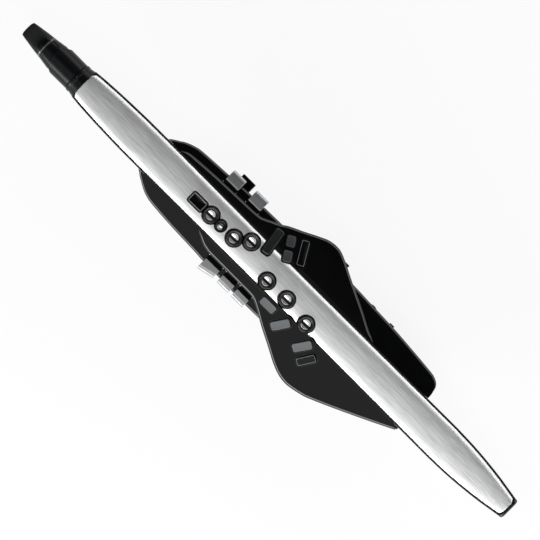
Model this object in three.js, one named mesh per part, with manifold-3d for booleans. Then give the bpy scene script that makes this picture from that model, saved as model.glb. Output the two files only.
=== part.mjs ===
// A digital wind controller, played like a soprano saxophone: a straight body with a silver front panel,
// round touch keys along it, a sloping key deck on each side, palm and side keys in the back shell's
// edges, and a mouthpiece on a short neck. Millimetres.
// X runs from the mouthpiece to the bell end, Y to the player's left, Z out of the front.
// Z is zero on the surface that the instrument lies on, key side up.

import * as THREE from 'three';
import { mergeVertices } from 'three/addons/utils/BufferGeometryUtils.js';
import Module from 'manifold-3d';

const wasm = await Module();
wasm.setup();

// Lengths along the axis
const beakLength = 51.1;
const sleeveLength = 24.8;
const collarLength = 12.1;
const bodyLength = 632.6;
const capLength = 3.8;

// Body tube. Heights in the upper half are counted down from its crown, so they move with it.
const bodyHalfWidth = 22;
const crownHeight = 78;
const bodyDepth = 38;
const bodyBase = crownHeight - bodyDepth;
const tubeWall = 2.2;
const crownBow = 1.4;
const edgeFall = 3.6;
const cornerRadius = 6;

// Front panel
const panelThickness = 1.5;
const panelInset = 1.6;
const panelCorner = 4.4;

// Back shell
const shellHalfWidth = 43.8;
const shellTopDrop = 12;
const shellTopHeight = crownHeight - shellTopDrop;
const shellFloor = 24;
const shellWall = 2.4;
const shellRim = 4;

// Key decks
const leftReach = 68.5;
const rightReach = 74.2;
const deckEdgeDrop = 6;
const deckEdgeHeight = crownHeight - deckEdgeDrop;
const deckThickness = 2.6;
const deckLip = 3;
const deckRound = 3.2;
const deckRoundFall = 1.6;
const deckTuck = 1;
const deckAngle = THREE.MathUtils.degToRad(20);

// Clearances and cuts
const fitGap = 0.3;
const keyGap = 0.4;
const overrun = 3;

// Smoothness: how many steps a curved stretch has
const roundSteps = 18;
const neckSteps = 32;
const hingeSteps = 10;
const smallSteps = 12;
const cornerSteps = 2;

// Where everything starts along X: the whole length is centred on zero
const overallLength = beakLength + sleeveLength + collarLength + bodyLength + capLength;
const tipX = -overallLength / 2;
const sleeveX = tipX + beakLength;
const collarX = sleeveX + sleeveLength;
const bodyX = collarX + collarLength;
const bodyEndX = bodyX + bodyLength;
const alongBody = (share) => bodyX + share * bodyLength;

const finishes = {
  gloss: { color: 0x0b0b0c, roughness: 0.12, metalness: 0 },
  satin: { color: 0x141415, roughness: 0.45, metalness: 0 },
  brushed: { color: 0xc6c8ca, roughness: 0.32, metalness: 1 },
  mirror: { color: 0xe2e4e6, roughness: 0.06, metalness: 1 },
  keyGrey: { color: 0x6c7173, roughness: 0.4, metalness: 0.2 },
  darkKey: { color: 0x303436, roughness: 0.4, metalness: 0.1 },
  silver: { color: 0xb4b8ba, roughness: 0.3, metalness: 0.9 },
  board: { color: 0x1f5a38, roughness: 0.6, metalness: 0 },
  cell: { color: 0x9a9ea2, roughness: 0.35, metalness: 0.8 },
  lens: { color: 0x101418, roughness: 0.05, metalness: 0 },
  rubber: { color: 0x1a1a1b, roughness: 0.8, metalness: 0 },
};

const model = new THREE.Group();

function place(name, solid, finish) {
  const piece = new THREE.Mesh(geometryOf(solid), new THREE.MeshStandardMaterial(finishes[finish]));
  piece.name = name;
  model.add(piece);
}

// Solids and their joins

// Faces are turned to point out, whichever way round the shape was drawn
function solidOf(geometry) {
  geometry.deleteAttribute('normal');
  geometry.deleteAttribute('uv');
  const merged = mergeVertices(geometry);
  const points = merged.attributes.position;
  const faces = [];
  let volume = 0;
  for (let i = 0; i < merged.index.count; i += 3) {
    const face = [0, 1, 2].map((k) => merged.index.getX(i + k));
    if (new Set(face).size < 3) continue;
    const [p, q, r] = face.map((k) => new THREE.Vector3().fromBufferAttribute(points, k));
    volume += p.dot(q.cross(r));
    faces.push(face);
  }
  return new wasm.Manifold(new wasm.Mesh({
    numProp: 3,
    vertProperties: Float32Array.from(points.array),
    triVerts: Uint32Array.from((volume < 0 ? faces.map(([i, j, k]) => [i, k, j]) : faces).flat()),
  }));
}

function geometryOf(solid) {
  const mesh = solid.getMesh();
  const geometry = new THREE.BufferGeometry();
  geometry.setAttribute('position', new THREE.BufferAttribute(Float32Array.from(mesh.vertProperties), 3));
  geometry.setIndex(new THREE.BufferAttribute(Uint32Array.from(mesh.triVerts), 1));
  geometry.computeVertexNormals();
  return geometry;
}

const joinAll = (solids) => solids.reduce((whole, next) => whole.add(next));
const cutAll = (solid, cutters) => cutters.reduce((rest, cutter) => rest.subtract(cutter), solid);

// A smooth curve through a table of [place, value] rows that never overshoots between rows
function smoothCurve(rows) {
  const slopes = rows.slice(1).map(([x, y], i) => (y - rows[i][1]) / (x - rows[i][0]));
  const tangents = rows.map((row, i) => {
    const before = slopes[i - 1];
    const after = slopes[i];
    if (before === undefined || after === undefined) return before ?? after;
    return before * after <= 0 ? 0 : (2 * before * after) / (before + after);
  });
  return (x) => {
    const last = rows.length - 2;
    const found = rows.findIndex((row, i) => i > 0 && x <= row[0]);
    const i = found < 0 ? last : found - 1;
    const [x0, y0] = rows[i];
    const [x1, y1] = rows[i + 1];
    const span = x1 - x0;
    const t = THREE.MathUtils.clamp((x - x0) / span, 0, 1);
    return y0 * (1 + 2 * t) * (1 - t) ** 2 + tangents[i] * span * t * (1 - t) ** 2
      + y1 * t ** 2 * (3 - 2 * t) + tangents[i + 1] * span * t ** 2 * (t - 1);
  };
}

// The faces that close an outline, all wound the way the outline runs. An outline with points along a
// straight side is closed as a fan from its first point, so such outlines are drawn without hollows.
function capFaces(outline) {
  const faces = THREE.ShapeUtils.triangulateShape(outline, []);
  const whole = faces.length === outline.length - 2;
  const found = whole ? faces : outline.slice(2).map((_, k) => [0, k + 1, k + 2]);
  const area = THREE.ShapeUtils.area(outline);
  return found.map((face) => {
    const alike = THREE.ShapeUtils.area(face.map((k) => outline[k])) * area >= 0;
    return whole && !alike ? face.toReversed() : face;
  });
}

// A closed skin over rings of points: rings[i] is a list of [x, y, z], each as long as the others
function loft(rings) {
  const count = rings[0].length;
  const points = rings.flat();
  const faces = [];
  for (let i = 0; i + 1 < rings.length; i += 1) {
    for (let j = 0; j < count; j += 1) {
      const a = i * count + j;
      const b = i * count + ((j + 1) % count);
      faces.push([a, b, b + count], [a, b + count, a + count]);
    }
  }
  for (const [ring, first] of [[rings[0], 0], [rings.at(-1), (rings.length - 1) * count]]) {
    const flat = ring.map(([, y, z]) => new THREE.Vector2(y, z));
    for (const face of capFaces(flat)) {
      faces.push((first > 0 ? face : face.toReversed()).map((k) => first + k));
    }
  }
  const geometry = new THREE.BufferGeometry();
  geometry.setAttribute('position', new THREE.Float32BufferAttribute(points.flat(), 3));
  geometry.setIndex(faces.flat());
  return solidOf(geometry);
}

// Flat shapes, centred on zero

function roundedRectangle(length, width, radius) {
  const x = length / 2;
  const y = width / 2;
  const r = Math.min(radius, x, y);
  const shape = new THREE.Shape();
  shape.moveTo(x - r, -y);
  shape.absarc(x - r, -y + r, r, -Math.PI / 2, 0);
  shape.absarc(x - r, y - r, r, 0, Math.PI / 2);
  shape.absarc(-x + r, y - r, r, Math.PI / 2, Math.PI);
  shape.absarc(-x + r, -y + r, r, Math.PI, Math.PI * 1.5);
  shape.closePath();
  return shape;
}

function polygon(points) {
  return new THREE.Shape(points.map(([x, y]) => new THREE.Vector2(x, y)));
}

// A shape in the plane of X and Y, standing from bottom to top, with its edges bevelled
function upright(shape, bottom, top, bevel = 0) {
  const geometry = new THREE.ExtrudeGeometry(shape, {
    depth: top - bottom - 2 * bevel,
    bevelEnabled: bevel > 0,
    bevelThickness: bevel,
    bevelSize: bevel,
    bevelOffset: -bevel,
    bevelSegments: 1,
    curveSegments: cornerSteps,
  });
  return geometry.translate(0, 0, bottom + bevel);
}

const block = (x0, x1, y0, y1, z0, z1) => solidOf(new THREE.BoxGeometry(x1 - x0, y1 - y0, z1 - z0)
  .translate((x0 + x1) / 2, (y0 + y1) / 2, (z0 + z1) / 2));

// A profile of [y, z] points pushed along X, and one of [x, z] points pushed along Y
function alongX(points, x0, x1) {
  const basis = new THREE.Matrix4().makeBasis(
    new THREE.Vector3(0, 1, 0), new THREE.Vector3(0, 0, 1), new THREE.Vector3(1, 0, 0),
  );
  const geometry = new THREE.ExtrudeGeometry(polygon(points), { depth: x1 - x0, bevelEnabled: false });
  return solidOf(geometry.applyMatrix4(basis).translate(x0, 0, 0));
}

function alongY(points, y0, y1) {
  const geometry = new THREE.ExtrudeGeometry(polygon(points), { depth: y1 - y0, bevelEnabled: false });
  return solidOf(geometry.rotateX(Math.PI / 2).translate(0, y1, 0));
}

const rodAlongX = (radius, x0, x1, y, z, steps = hingeSteps) => solidOf(turnedAlongX(
  [[0, x0], [radius, x0], [radius, x1], [0, x1]], steps,
).translate(0, y, z));

// A profile of [radius, height] points turned about Z
const turned = (profile, steps = roundSteps) => new THREE.LatheGeometry(
  profile.map(([r, z]) => new THREE.Vector2(r, z)), steps,
).rotateX(Math.PI / 2);

// The same profile turned about the X axis, height running along X
const turnedAlongX = (profile, steps = roundSteps) => turned(profile, steps).rotateY(Math.PI / 2);

const rod = (radius, bottom, top, steps = roundSteps) => turned(
  [[0, bottom], [radius, bottom], [radius, top], [0, top]], steps,
);

// Body tube: how its half width and its crown run from the neck to the bell end
const waistShare = 0.435;
const bodyWidthShares = [[0, 0.83], [0.021, 0.888], [0.061, 0.949], [0.101, 0.986], [0.121, 0.998], [0.161, 1],
  [waistShare, 0.975], [0.8, 1], [0.8425, 1.004], [0.8625, 0.992], [0.8826, 0.973], [0.9026, 0.938],
  [0.9226, 0.888], [0.9427, 0.828], [0.9627, 0.752], [0.9828, 0.66], [1, 0.58]];
const bodyCrownShares = [[0, 0.981], [0.1, 0.996], [0.25, 1], [0.8, 1], [0.93, 0.988], [1, 0.968]];
const bodyBaseShares = [[0, 1], [0.3, 1], [0.75, 1], [1, 1.25]];
const bodyStationShares = [0, 0.021, 0.061, 0.101, 0.121, 0.2, waistShare, 0.65, 0.8, 0.8425, 0.8625, 0.8826,
  0.9026, 0.9226, 0.9427, 0.9627, 0.9828, 1];
const widthCurve = smoothCurve(bodyWidthShares);
const crownCurve = smoothCurve(bodyCrownShares);
const baseCurve = smoothCurve(bodyBaseShares);
const shareAt = (x) => (x - bodyX) / bodyLength;
const halfWidthAt = (x) => bodyHalfWidth * widthCurve(shareAt(x));
const crownAt = (x) => crownHeight * crownCurve(shareAt(x));
const baseAt = (x) => bodyBase * baseCurve(shareAt(x));

// Across the crown: a slight bow, falling more steeply towards the edges
const crownStepShares = [-1, -0.93, -0.8, -0.5, 0, 0.5, 0.8, 0.93, 1];
const fallPower = 7;
const chordShare = 0.3;
const fallAt = (share) => crownBow * share ** 2 + edgeFall * Math.abs(share) ** fallPower;

function bodyRing(x, grow) {
  const half = halfWidthAt(x) + grow;
  const crown = crownAt(x) - fitGap + grow;
  const base = baseAt(x) - grow;
  const corner = Math.min(cornerRadius, half);
  const top = crownStepShares.map((share) => [x, share * half, crown - fallAt(share)]);
  const low = [[half, corner], [half - corner * chordShare, corner * chordShare], [half - corner, 0]];
  const rightSide = low.map(([y, z]) => [x, y, base + z]);
  const leftSide = low.toReversed().map(([y, z]) => [x, -y, base + z]);
  return [...top, ...rightSide, ...leftSide];
}

const bodyLoft = loft(bodyStationShares.map((share) => bodyRing(alongBody(share), 0)));

// Front panel: a bent plate with rounded ends, and the recess that it lies in, which is the same plate grown
const panelX = bodyX + fitGap;
const panelEndX = bodyEndX - fitGap;
const panelEndShares = [0, 0.12, 0.4, 1];
const panelStations = [
  ...panelEndShares.map((share) => panelX + share * panelCorner),
  ...bodyStationShares.map(alongBody).filter((x) => x > panelX + panelCorner && x < panelEndX - panelCorner),
  ...panelEndShares.map((share) => panelEndX - share * panelCorner).reverse(),
];

function panelHalfWidthAt(x) {
  const fromEnd = Math.min(x - panelX, panelEndX - x, panelCorner);
  const rounding = panelCorner - Math.sqrt(panelCorner ** 2 - (panelCorner - fromEnd) ** 2);
  return halfWidthAt(x) - panelInset - rounding;
}

const panelTopAt = (x, share) => crownAt(x) - fallAt(share);

function panelRing(x, shiftedX, grow, rise) {
  const half = panelHalfWidthAt(x);
  const atEdge = (share) => (Math.abs(share) < 1 ? 0 : Math.sign(share));
  const top = crownStepShares.map((share) => [shiftedX, share * half + atEdge(share) * grow,
    panelTopAt(x, share) + rise]);
  const under = crownStepShares.toReversed().map((share) => [shiftedX, share * half + atEdge(share) * grow,
    panelTopAt(x, share) - panelThickness - grow * (1 + 2 * Math.abs(atEdge(share)))]);
  return [...top, ...under];
}

function panelLoft(grow, rise) {
  const rings = panelStations.map((x) => panelRing(x, x, grow, rise));
  if (grow > 0) {
    rings.unshift(panelRing(panelX, panelX - grow, grow, rise));
    rings.push(panelRing(panelEndX, panelEndX + grow, grow, rise));
  }
  return loft(rings);
}

// Touch keys along the front: a black cup with a ring crest, and a mirror dish in its well
const cupRadius = 8.8;
const smallCupRadius = 5.9;
const cupSurround = 1.5;
const cupProud = 3;
const cupSkirt = 4.2;
const cupStemRadius = 3;
const cupCrestShare = 0.88;
const cupShoulderShare = 0.45;
const cupWellShare = 0.64;
const smallWellShare = 0.72;
const wellFloorDrop = 1.6;
const dishThickness = 1.6;
const dishRim = 0.7;
const dishEdgeRound = 0.28;
const dishHollow = 1.1;
const neighbourGap = 0.4;
const keyTravel = 2;
const bKeyShare = 0.3051;
const aKeyShare = 0.3593;
const fKeyShare = 0.4486;
const eKeyShare = 0.4937;
const dKeyShare = 0.5455;
const chainAngle = THREE.MathUtils.degToRad(32.6);
const cupPitch = 18.8;
const topRowY = -2.8;
const bisDropY = -0.7;
const fKeyY = -10.3;
const eKeyY = -9.5;
const dKeyY = -13.5;
const bisX = alongBody(bKeyShare) + cupRadius + smallCupRadius + neighbourGap;
const roundKeys = [
  { name: 'b', x: alongBody(bKeyShare), y: topRowY, radius: cupRadius },
  { name: 'bis', x: bisX, y: topRowY + bisDropY, radius: smallCupRadius },
  { name: 'a', x: alongBody(aKeyShare), y: topRowY, radius: cupRadius },
  {
    name: 'g', radius: cupRadius,
    x: alongBody(aKeyShare) + cupPitch * Math.cos(chainAngle),
    y: topRowY + cupPitch * Math.sin(chainAngle),
  },
  { name: 'f', x: alongBody(fKeyShare), y: fKeyY, radius: cupRadius },
  { name: 'e', x: alongBody(eKeyShare), y: eKeyY, radius: cupRadius },
  { name: 'd', x: alongBody(dKeyShare), y: dKeyY, radius: cupRadius },
];

// Circuit board across the inside of the tube
const boardDrop = 18;
const boardHeight = crownHeight - boardDrop;
const boardThickness = 1.6;
const boardStartShare = 0.245;
const boardEndShare = 0.61;
const boardX = alongBody(boardStartShare);
const boardEndX = alongBody(boardEndShare);
const boardHalfWidth = halfWidthAt(alongBody(waistShare)) - tubeWall - fitGap;

const stemBottom = boardHeight + boardThickness + keyTravel + fitGap;

const wellRadiusOf = (radius) => radius * (radius < cupRadius ? smallWellShare : cupWellShare);

function cupSolid({ x, y, radius }) {
  const crown = crownAt(x);
  const crest = crown + cupProud;
  const well = wellRadiusOf(radius);
  const floor = crest - wellFloorDrop - dishThickness;
  const profile = [
    [0, stemBottom], [cupStemRadius, stemBottom], [cupStemRadius, crown - cupSkirt],
    [radius, crown - cupSkirt], [radius, crest - cupShoulderShare * cupProud], [cupCrestShare * radius, crest],
    [well, crest - wellFloorDrop], [well, floor], [0, floor],
  ];
  return solidOf(turned(profile)).translate([x, y, 0]);
}

function dishSolid({ x, y, radius }, domed) {
  const bottom = crownAt(x) + cupProud - wellFloorDrop - dishThickness + fitGap;
  const rim = bottom + dishThickness;
  const edge = wellRadiusOf(radius) - fitGap;
  const hollowShares = [[0.75, 0.45], [0.45, 0.8], [0, 1]];
  const sign = domed ? 1 : -1;
  const face = hollowShares.map(([out, deep]) => [out * (edge - dishRim), rim + sign * deep * dishHollow]);
  const profile = [[0, bottom], [edge, bottom], [edge, rim - dishEdgeRound], [edge - dishEdgeRound, rim],
    [edge - dishRim, rim], ...face];
  return solidOf(turned(profile)).translate([x, y, 0]);
}

// Bar keys. Each lies on the panel or on a deck, turned by an angle seen from the front.
const keyCorner = 1.6;
const keyBevel = 0.7;
const keyProud = 2;
const rollerProud = 3.2;
const paddleProud = 4.1;
const keyTail = 0.8;
const deckInnerY = bodyHalfWidth + fitGap;
const deckSlope = Math.tan(deckAngle);
const deckPlaneAt = (y) => deckEdgeHeight - deckSlope * (Math.abs(y) - deckInnerY);

const frontFLength = 19;
const frontFWidth = 11.7;
const frontFGap = 1.4;
const frontFKey = {
  x: alongBody(bKeyShare) - cupRadius - frontFGap - frontFLength / 2,
  y: topRowY,
};

// Key tables: places are shares of the table's pitch, counted from its first key
const tablePitch = 10;
const barWidth = 9.2;
const leftTableShare = 0.4093;
const leftTableY = 22.7;
const rightTableShare = 0.4785;
const rightTableY = -27.1;
const leftBars = [
  { node: 'g_sharp_key', finish: 'gloss', atShare: [0, 0], turn: 8.7,
    lengthShare: 3.4, widthShare: 1.06, proud: paddleProud },
  { node: 'c_sharp_key', finish: 'darkKey', atShare: [1.32, 1.42], turn: 32,
    lengthShare: 1.36, widthShare: 1.06, proud: keyProud },
  { node: 'low_b_key', finish: 'darkKey', atShare: [2.18, -0.01], turn: 32,
    lengthShare: 1.36, widthShare: 1.06, proud: rollerProud },
  { node: 'low_b_flat_key', finish: 'gloss', atShare: [3.13, 1.42], turn: 29,
    lengthShare: 3.2, widthShare: 0.97, proud: keyProud },
];
const rightBars = [
  { node: 'f_sharp_key', finish: 'keyGrey', atShare: [0, 0], turn: 0,
    lengthShare: 0.98, widthShare: 2.05, proud: keyProud },
  { node: 'e_flat_key', finish: 'keyGrey', atShare: [2.39, -0.54], turn: -32,
    lengthShare: 2.32, widthShare: 1.02, proud: keyProud },
  { node: 'low_c_key', finish: 'keyGrey', atShare: [5.65, -0.54], turn: -32,
    lengthShare: 2.32, widthShare: 1.02, proud: keyProud },
  { node: 'low_a_key', finish: 'gloss', atShare: [6.98, -1.29], turn: -30,
    lengthShare: 2.34, widthShare: 0.95, proud: keyProud },
];
const barAt = (tableShare, tableY) => (bar) => ({
  ...bar,
  x: alongBody(tableShare) + bar.atShare[0] * tablePitch,
  y: tableY + bar.atShare[1] * tablePitch,
  length: bar.lengthShare * barWidth,
  width: bar.widthShare * barWidth,
});
const leftKeys = leftBars.map(barAt(leftTableShare, leftTableY));
const rightKeys = rightBars.map(barAt(rightTableShare, rightTableY));

// A solid on a deck's slope: drawn upright about zero, turned in its own plane, then laid on the deck
function onDeck(geometry, { x, y, turn }) {
  const side = Math.sign(y);
  return solidOf(geometry.rotateZ(THREE.MathUtils.degToRad(turn)).rotateX(-side * deckAngle)
    .translate(x, y, deckPlaneAt(y)));
}

const barShape = (bar, grow) => roundedRectangle(bar.width + 2 * grow, bar.length + 2 * grow, keyCorner + grow);
const barSolid = (bar) => onDeck(upright(barShape(bar, 0), -deckThickness - keyTail, bar.proud, keyBevel), bar);
const barCut = (bar, grow, depth) => onDeck(upright(barShape(bar, grow), -depth, 2 * bar.proud + overrun), bar);

// Key decks: outlines as rows of [share along the body, share of the deck's reach]
const leftDeckShares = [[0.194, 0.33], [0.199, 0.369], [0.206, 0.4], [0.218, 0.415], [0.274, 0.448],
  [0.351, 0.475], [0.366, 0.488], [0.373, 0.511], [0.385, 0.566], [0.4, 0.632], [0.408, 0.682], [0.435, 0.803],
  [0.462, 0.929], [0.475, 0.98], [0.489, 1], [0.496, 0.999], [0.502, 0.988], [0.516, 0.937], [0.543, 0.812],
  [0.603, 0.542], [0.624, 0.437], [0.646, 0.345]];
const rightDeckShares = [[0.308, 0.318], [0.315, 0.353], [0.325, 0.399], [0.335, 0.429], [0.348, 0.445],
  [0.445, 0.45], [0.455, 0.469], [0.469, 0.526], [0.495, 0.653], [0.529, 0.801], [0.556, 0.921], [0.57, 0.968],
  [0.583, 0.994], [0.594, 1], [0.604, 0.99], [0.617, 0.968], [0.63, 0.939], [0.644, 0.891], [0.704, 0.656],
  [0.743, 0.494], [0.776, 0.353]];

// Back shell: its own outline, which shows where no deck covers it
const leftShellShares = [[0.163, 0.505], [0.167, 0.56], [0.173, 0.621], [0.18, 0.682], [0.186, 0.743],
  [0.2, 0.829], [0.213, 0.878], [0.227, 0.896], [0.273, 0.933], [0.327, 0.977], [0.368, 0.99], [0.4, 1],
  [0.469, 1.06], [0.536, 1.18], [0.549, 1.19], [0.602, 1.163], [0.652, 1.136], [0.703, 1.083], [0.745, 1.03],
  [0.758, 1.008], [0.765, 0.975], [0.772, 0.915], [0.776, 0.83], [0.7785, 0.66]];
const rightShellShares = [[0.163, 0.517], [0.167, 0.552], [0.173, 0.619], [0.18, 0.68], [0.187, 0.741],
  [0.2, 0.832], [0.213, 0.881], [0.227, 0.905], [0.273, 0.948], [0.327, 0.978], [0.348, 0.996], [0.385, 1.005],
  [0.455, 1.027], [0.536, 0.99], [0.602, 0.963], [0.669, 0.867], [0.728, 0.722], [0.761, 0.62], [0.7785, 0.56]];

const shellSlope = 0.45;
const shellStartShare = leftShellShares[0][0];
const shellEndShare = leftShellShares.at(-1)[0];
const shellFloorShares = [[shellStartShare, 0.5], [0.178, 0.78], [0.2, 0.95], [0.225, 1], [0.72, 1],
  [0.75, 0.94], [0.77, 0.72], [shellEndShare, 0.5]];
const sides = {
  left: { sign: 1, reach: leftReach, deck: smoothCurve(leftDeckShares), deckRows: leftDeckShares,
    shell: smoothCurve(leftShellShares) },
  right: { sign: -1, reach: rightReach, deck: smoothCurve(rightDeckShares), deckRows: rightDeckShares,
    shell: smoothCurve(rightShellShares) },
};

const hasDeck = (side, share) => share > side.deckRows[0][0] && share < side.deckRows.at(-1)[0];
const deckEdgeAt = (side, share) => side.reach * side.deck(share);

function shellEdgeAt(side, share) {
  const own = shellHalfWidth * side.shell(share);
  return hasDeck(side, share) ? Math.max(own, deckEdgeAt(side, share) - deckTuck) : own;
}

const shellTopAt = (y) => shellTopHeight - shellSlope * (Math.abs(y) - deckInnerY);
const floorCurve = smoothCurve(shellFloorShares);
const shellDepthAt = (share) => (shellTopHeight - shellFloor) * floorCurve(share);

// The shell's section: a slope out to the rim, a short wall, and a full belly
const bellyPower = 2.5;
const bellySteps = 6;
const rimRoundShare = 0.35;

function shellHalfRing(side, x, share, inset) {
  const edge = shellEdgeAt(side, share) - inset;
  const rimTop = shellTopAt(edge) - inset;
  const wallFoot = rimTop - shellRim + inset;
  const floor = shellTopHeight - shellDepthAt(share) + inset;
  const depth = Math.max(wallFoot - floor, shellWall);
  const belly = Array.from({ length: bellySteps }, (_, i) => {
    const angle = (i * Math.PI) / 2 / bellySteps;
    return [edge * Math.cos(angle) ** (2 / bellyPower), wallFoot - depth * Math.sin(angle) ** (2 / bellyPower)];
  });
  const rim = [
    [deckInnerY / 2, shellTopAt(deckInnerY / 2) - inset],
    [edge - shellRim * rimRoundShare, shellTopAt(edge - shellRim * rimRoundShare) - inset],
    [edge, rimTop - shellRim * rimRoundShare],
  ];
  return [...rim, ...belly].map(([y, z]) => [x, side.sign * y, z]);
}

function shellLoft(stationShares, inset, endInset) {
  const last = stationShares.length - 1;
  return loft(stationShares.map((share, i) => {
    const shift = i === 0 ? endInset : i === last ? -endInset : 0;
    const x = alongBody(share) + shift;
    const floor = shellTopHeight - shellDepthAt(share) + inset;
    return [
      ...shellHalfRing(sides.left, x, share, inset), [x, 0, floor],
      ...shellHalfRing(sides.right, x, share, inset).reverse(),
    ];
  }));
}

const shellStationShares = [shellStartShare, 0.167, 0.173, 0.18, 0.187, 0.2, 0.213, 0.273, 0.35, 0.4, 0.435,
  0.462, 0.475, 0.489, 0.502, 0.516, 0.543, 0.57, 0.594, 0.617, 0.644, 0.704, 0.745, 0.765, 0.772, 0.776,
  shellEndShare];
const cavityStationShares = [0.184, 0.215, 0.352, 0.42, 0.47, 0.489, 0.504, 0.552, 0.603, 0.627, 0.65, 0.703,
  0.764];

// A deck's section: a sloping plate whose outer edge rolls down into a lip that stands on the shell
const deckRoundShares = [0, 0.4, 0.75, 1];
const longStepShare = 0.03;

function deckRing(side, x, share) {
  const inner = halfWidthAt(x) + fitGap;
  const edge = Math.max(deckEdgeAt(side, share), inner + deckLip / 2);
  const round = Math.min(deckRound, (edge - inner) / 2);
  const lip = Math.min(deckLip, (edge - inner) / 3);
  const fall = (y) => deckRoundFall * Math.max(0, (y - edge + round) / round) ** 2;
  const topAt = (y) => deckPlaneAt(y) - fall(y);
  const flatEnd = edge - round;
  const top = [inner, ...deckRoundShares.map((k) => flatEnd + k * round)];
  const atEnd = share === side.deckRows[0][0] || share === side.deckRows.at(-1)[0];
  const underAt = (y) => (atEnd ? shellTopAt(y) + 2 * fitGap : topAt(y) - deckThickness);
  const ring = [
    ...top.map((y) => [y, topAt(y)]),
    ...[edge, edge - lip].map((y) => [y, shellTopAt(y) + fitGap]),
    ...[edge - lip, inner].map((y) => [y, underAt(y)]),
  ];
  return ring.map(([y, z]) => [x, side.sign * y, z]);
}

function deckLoft(side) {
  const rows = side.deckRows;
  const halved = (share, next) => (next - share > longStepShare ? [share, (share + next) / 2] : [share]);
  const shares = rows.flatMap(([share], i) => (i + 1 < rows.length ? halved(share, rows[i + 1][0]) : [share]));
  return loft(shares.map((share) => deckRing(side, alongBody(share), share)));
}

// Mouthpiece, sleeve and collar share one axis
const neckDrop = 19.5;
const neckAxisZ = crownHeight - neckDrop;
const sleeveRadius = 16.7;
const sleeveFrontRadius = 16.9;
const collarRadius = 17.4;
const collarFlare = 1;
const collarRidge = 0.6;
const noseReach = 6.9;
const noseRadius = 22.9;
const tenonRadius = 7;
const tenonLength = 22;
const boreRadius = 4;
const beakRadius = 15.3;
const stepLength = 31.1;
const tipThickness = 2.2;
const tipDrop = 7.4;
const reedLength = 34.7;
const reedThickness = 2.2;
const reedHalfWidth = 6.6;
const reedTable = 9.6;

// The nose is the sleeve's rounded front edge, curved about an upright axis
const noseAxisX = sleeveX - noseReach + noseRadius;
const neckBlock = (grow) => {
  const radius = noseRadius + grow;
  const reach = 2 * sleeveRadius;
  const round = solidOf(new THREE.CylinderGeometry(radius, radius, 2 * reach, 2 * neckSteps)
    .rotateX(Math.PI / 2).translate(noseAxisX, 0, neckAxisZ));
  return round.add(block(noseAxisX, collarX + overrun, -reach, reach, neckAxisZ - reach, neckAxisZ + reach));
};
const onNeck = (profile, steps = roundSteps) => solidOf(turnedAlongX(profile, steps)
  .translate(0, 0, neckAxisZ));
const neckPipe = (radius, x0, x1) => onNeck([[0, x0], [radius, x0], [radius, x1], [0, x1]]);

const sleeveBody = onNeck([[0, sleeveX - noseReach], [sleeveFrontRadius, sleeveX - noseReach],
  [sleeveRadius, collarX - fitGap], [0, collarX - fitGap]], neckSteps).intersect(neckBlock(0));
const tenon = neckPipe(tenonRadius, sleeveX - noseReach - tenonLength, sleeveX);
const breathBore = neckPipe(boreRadius, tipX, bodyX + 2 * overrun);
place('neck_sleeve', sleeveBody.add(tenon).subtract(breathBore), 'satin');

const ridgeLength = collarLength / 3;
const ridgeEndX = collarX + ridgeLength;
const collarInner = collarRadius - collarRidge;
const collarBody = onNeck([[0, collarX], [collarInner, collarX], [collarRadius, collarX + collarRidge],
  [collarRadius, ridgeEndX - collarRidge], [collarInner, ridgeEndX],
  [collarRadius + collarFlare, bodyX - fitGap], [0, bodyX - fitGap]], neckSteps);
const screwRadius = 2.3;
const screwSink = 1.2;
const collarScrewSink = solidOf(rod(screwRadius, 0, 2 * overrun)
  .translate(collarX + ridgeLength / 2, 0, neckAxisZ + collarRadius - screwSink));
place('neck_collar', cutAll(collarBody, [breathBore, collarScrewSink]), 'satin');

// Beak: half width, top and bottom along the mouthpiece, as shares of its radius
const beakWidthShares = [[0, 0.38], [0.01, 0.5], [0.027, 0.578], [0.09, 0.627], [0.258, 0.712], [0.425, 0.794],
  [0.55, 0.843], [0.675, 0.889], [0.759, 0.935], [0.843, 0.974], [0.884, 1], [1, 1]];
const beakTopShares = [[0, 0], [0.591, 0.8], [0.607, 0.8], [0.638, 0.95], [0.908, 1], [1, 1]];
const beakBottomShares = [[0, 0], [0.304, 0.12], [0.629, 0.72], [0.908, 1], [1, 1]];
const beakStationShares = [0, 0.01, 0.027, 0.09, 0.17, 0.258, 0.36, 0.48, 0.591, 0.607, 0.622, 0.638, 0.72, 0.8,
  0.884, 1];
const beakSteps = 16;
const beakPower = 2.3;
const beakWidth = smoothCurve(beakWidthShares);
const beakTop = smoothCurve(beakTopShares);
const beakBottom = smoothCurve(beakBottomShares);
const beakSolid = loft(beakStationShares.map((share) => {
  const x = tipX + share * beakLength;
  const top = -tipDrop + (beakRadius + tipDrop) * beakTop(share);
  const bottom = -tipDrop - tipThickness - (beakRadius - tipDrop - tipThickness) * beakBottom(share);
  const half = beakRadius * beakWidth(share);
  const middle = (top + bottom) / 2;
  const rise = (top - bottom) / 2;
  return Array.from({ length: beakSteps }, (_, i) => {
    const angle = (i * 2 * Math.PI) / beakSteps;
    const [c, s] = [Math.cos(angle), Math.sin(angle)];
    return [x, half * Math.sign(c) * Math.abs(c) ** (2 / beakPower),
      neckAxisZ + middle + rise * Math.sign(s) * Math.abs(s) ** (2 / beakPower)];
  });
}));
const reedSeat = neckAxisZ - reedTable;
const beakCuts = [
  neckBlock(fitGap),
  neckPipe(tenonRadius + fitGap, sleeveX - noseReach - tenonLength - fitGap, sleeveX),
  block(tipX - overrun, tipX + reedLength + fitGap, -beakRadius, beakRadius, neckAxisZ - 2 * beakRadius,
    reedSeat),
  neckPipe(boreRadius, tipX + stepLength - overrun, sleeveX),
];
place('mouthpiece', cutAll(beakSolid, beakCuts), 'satin');

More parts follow.
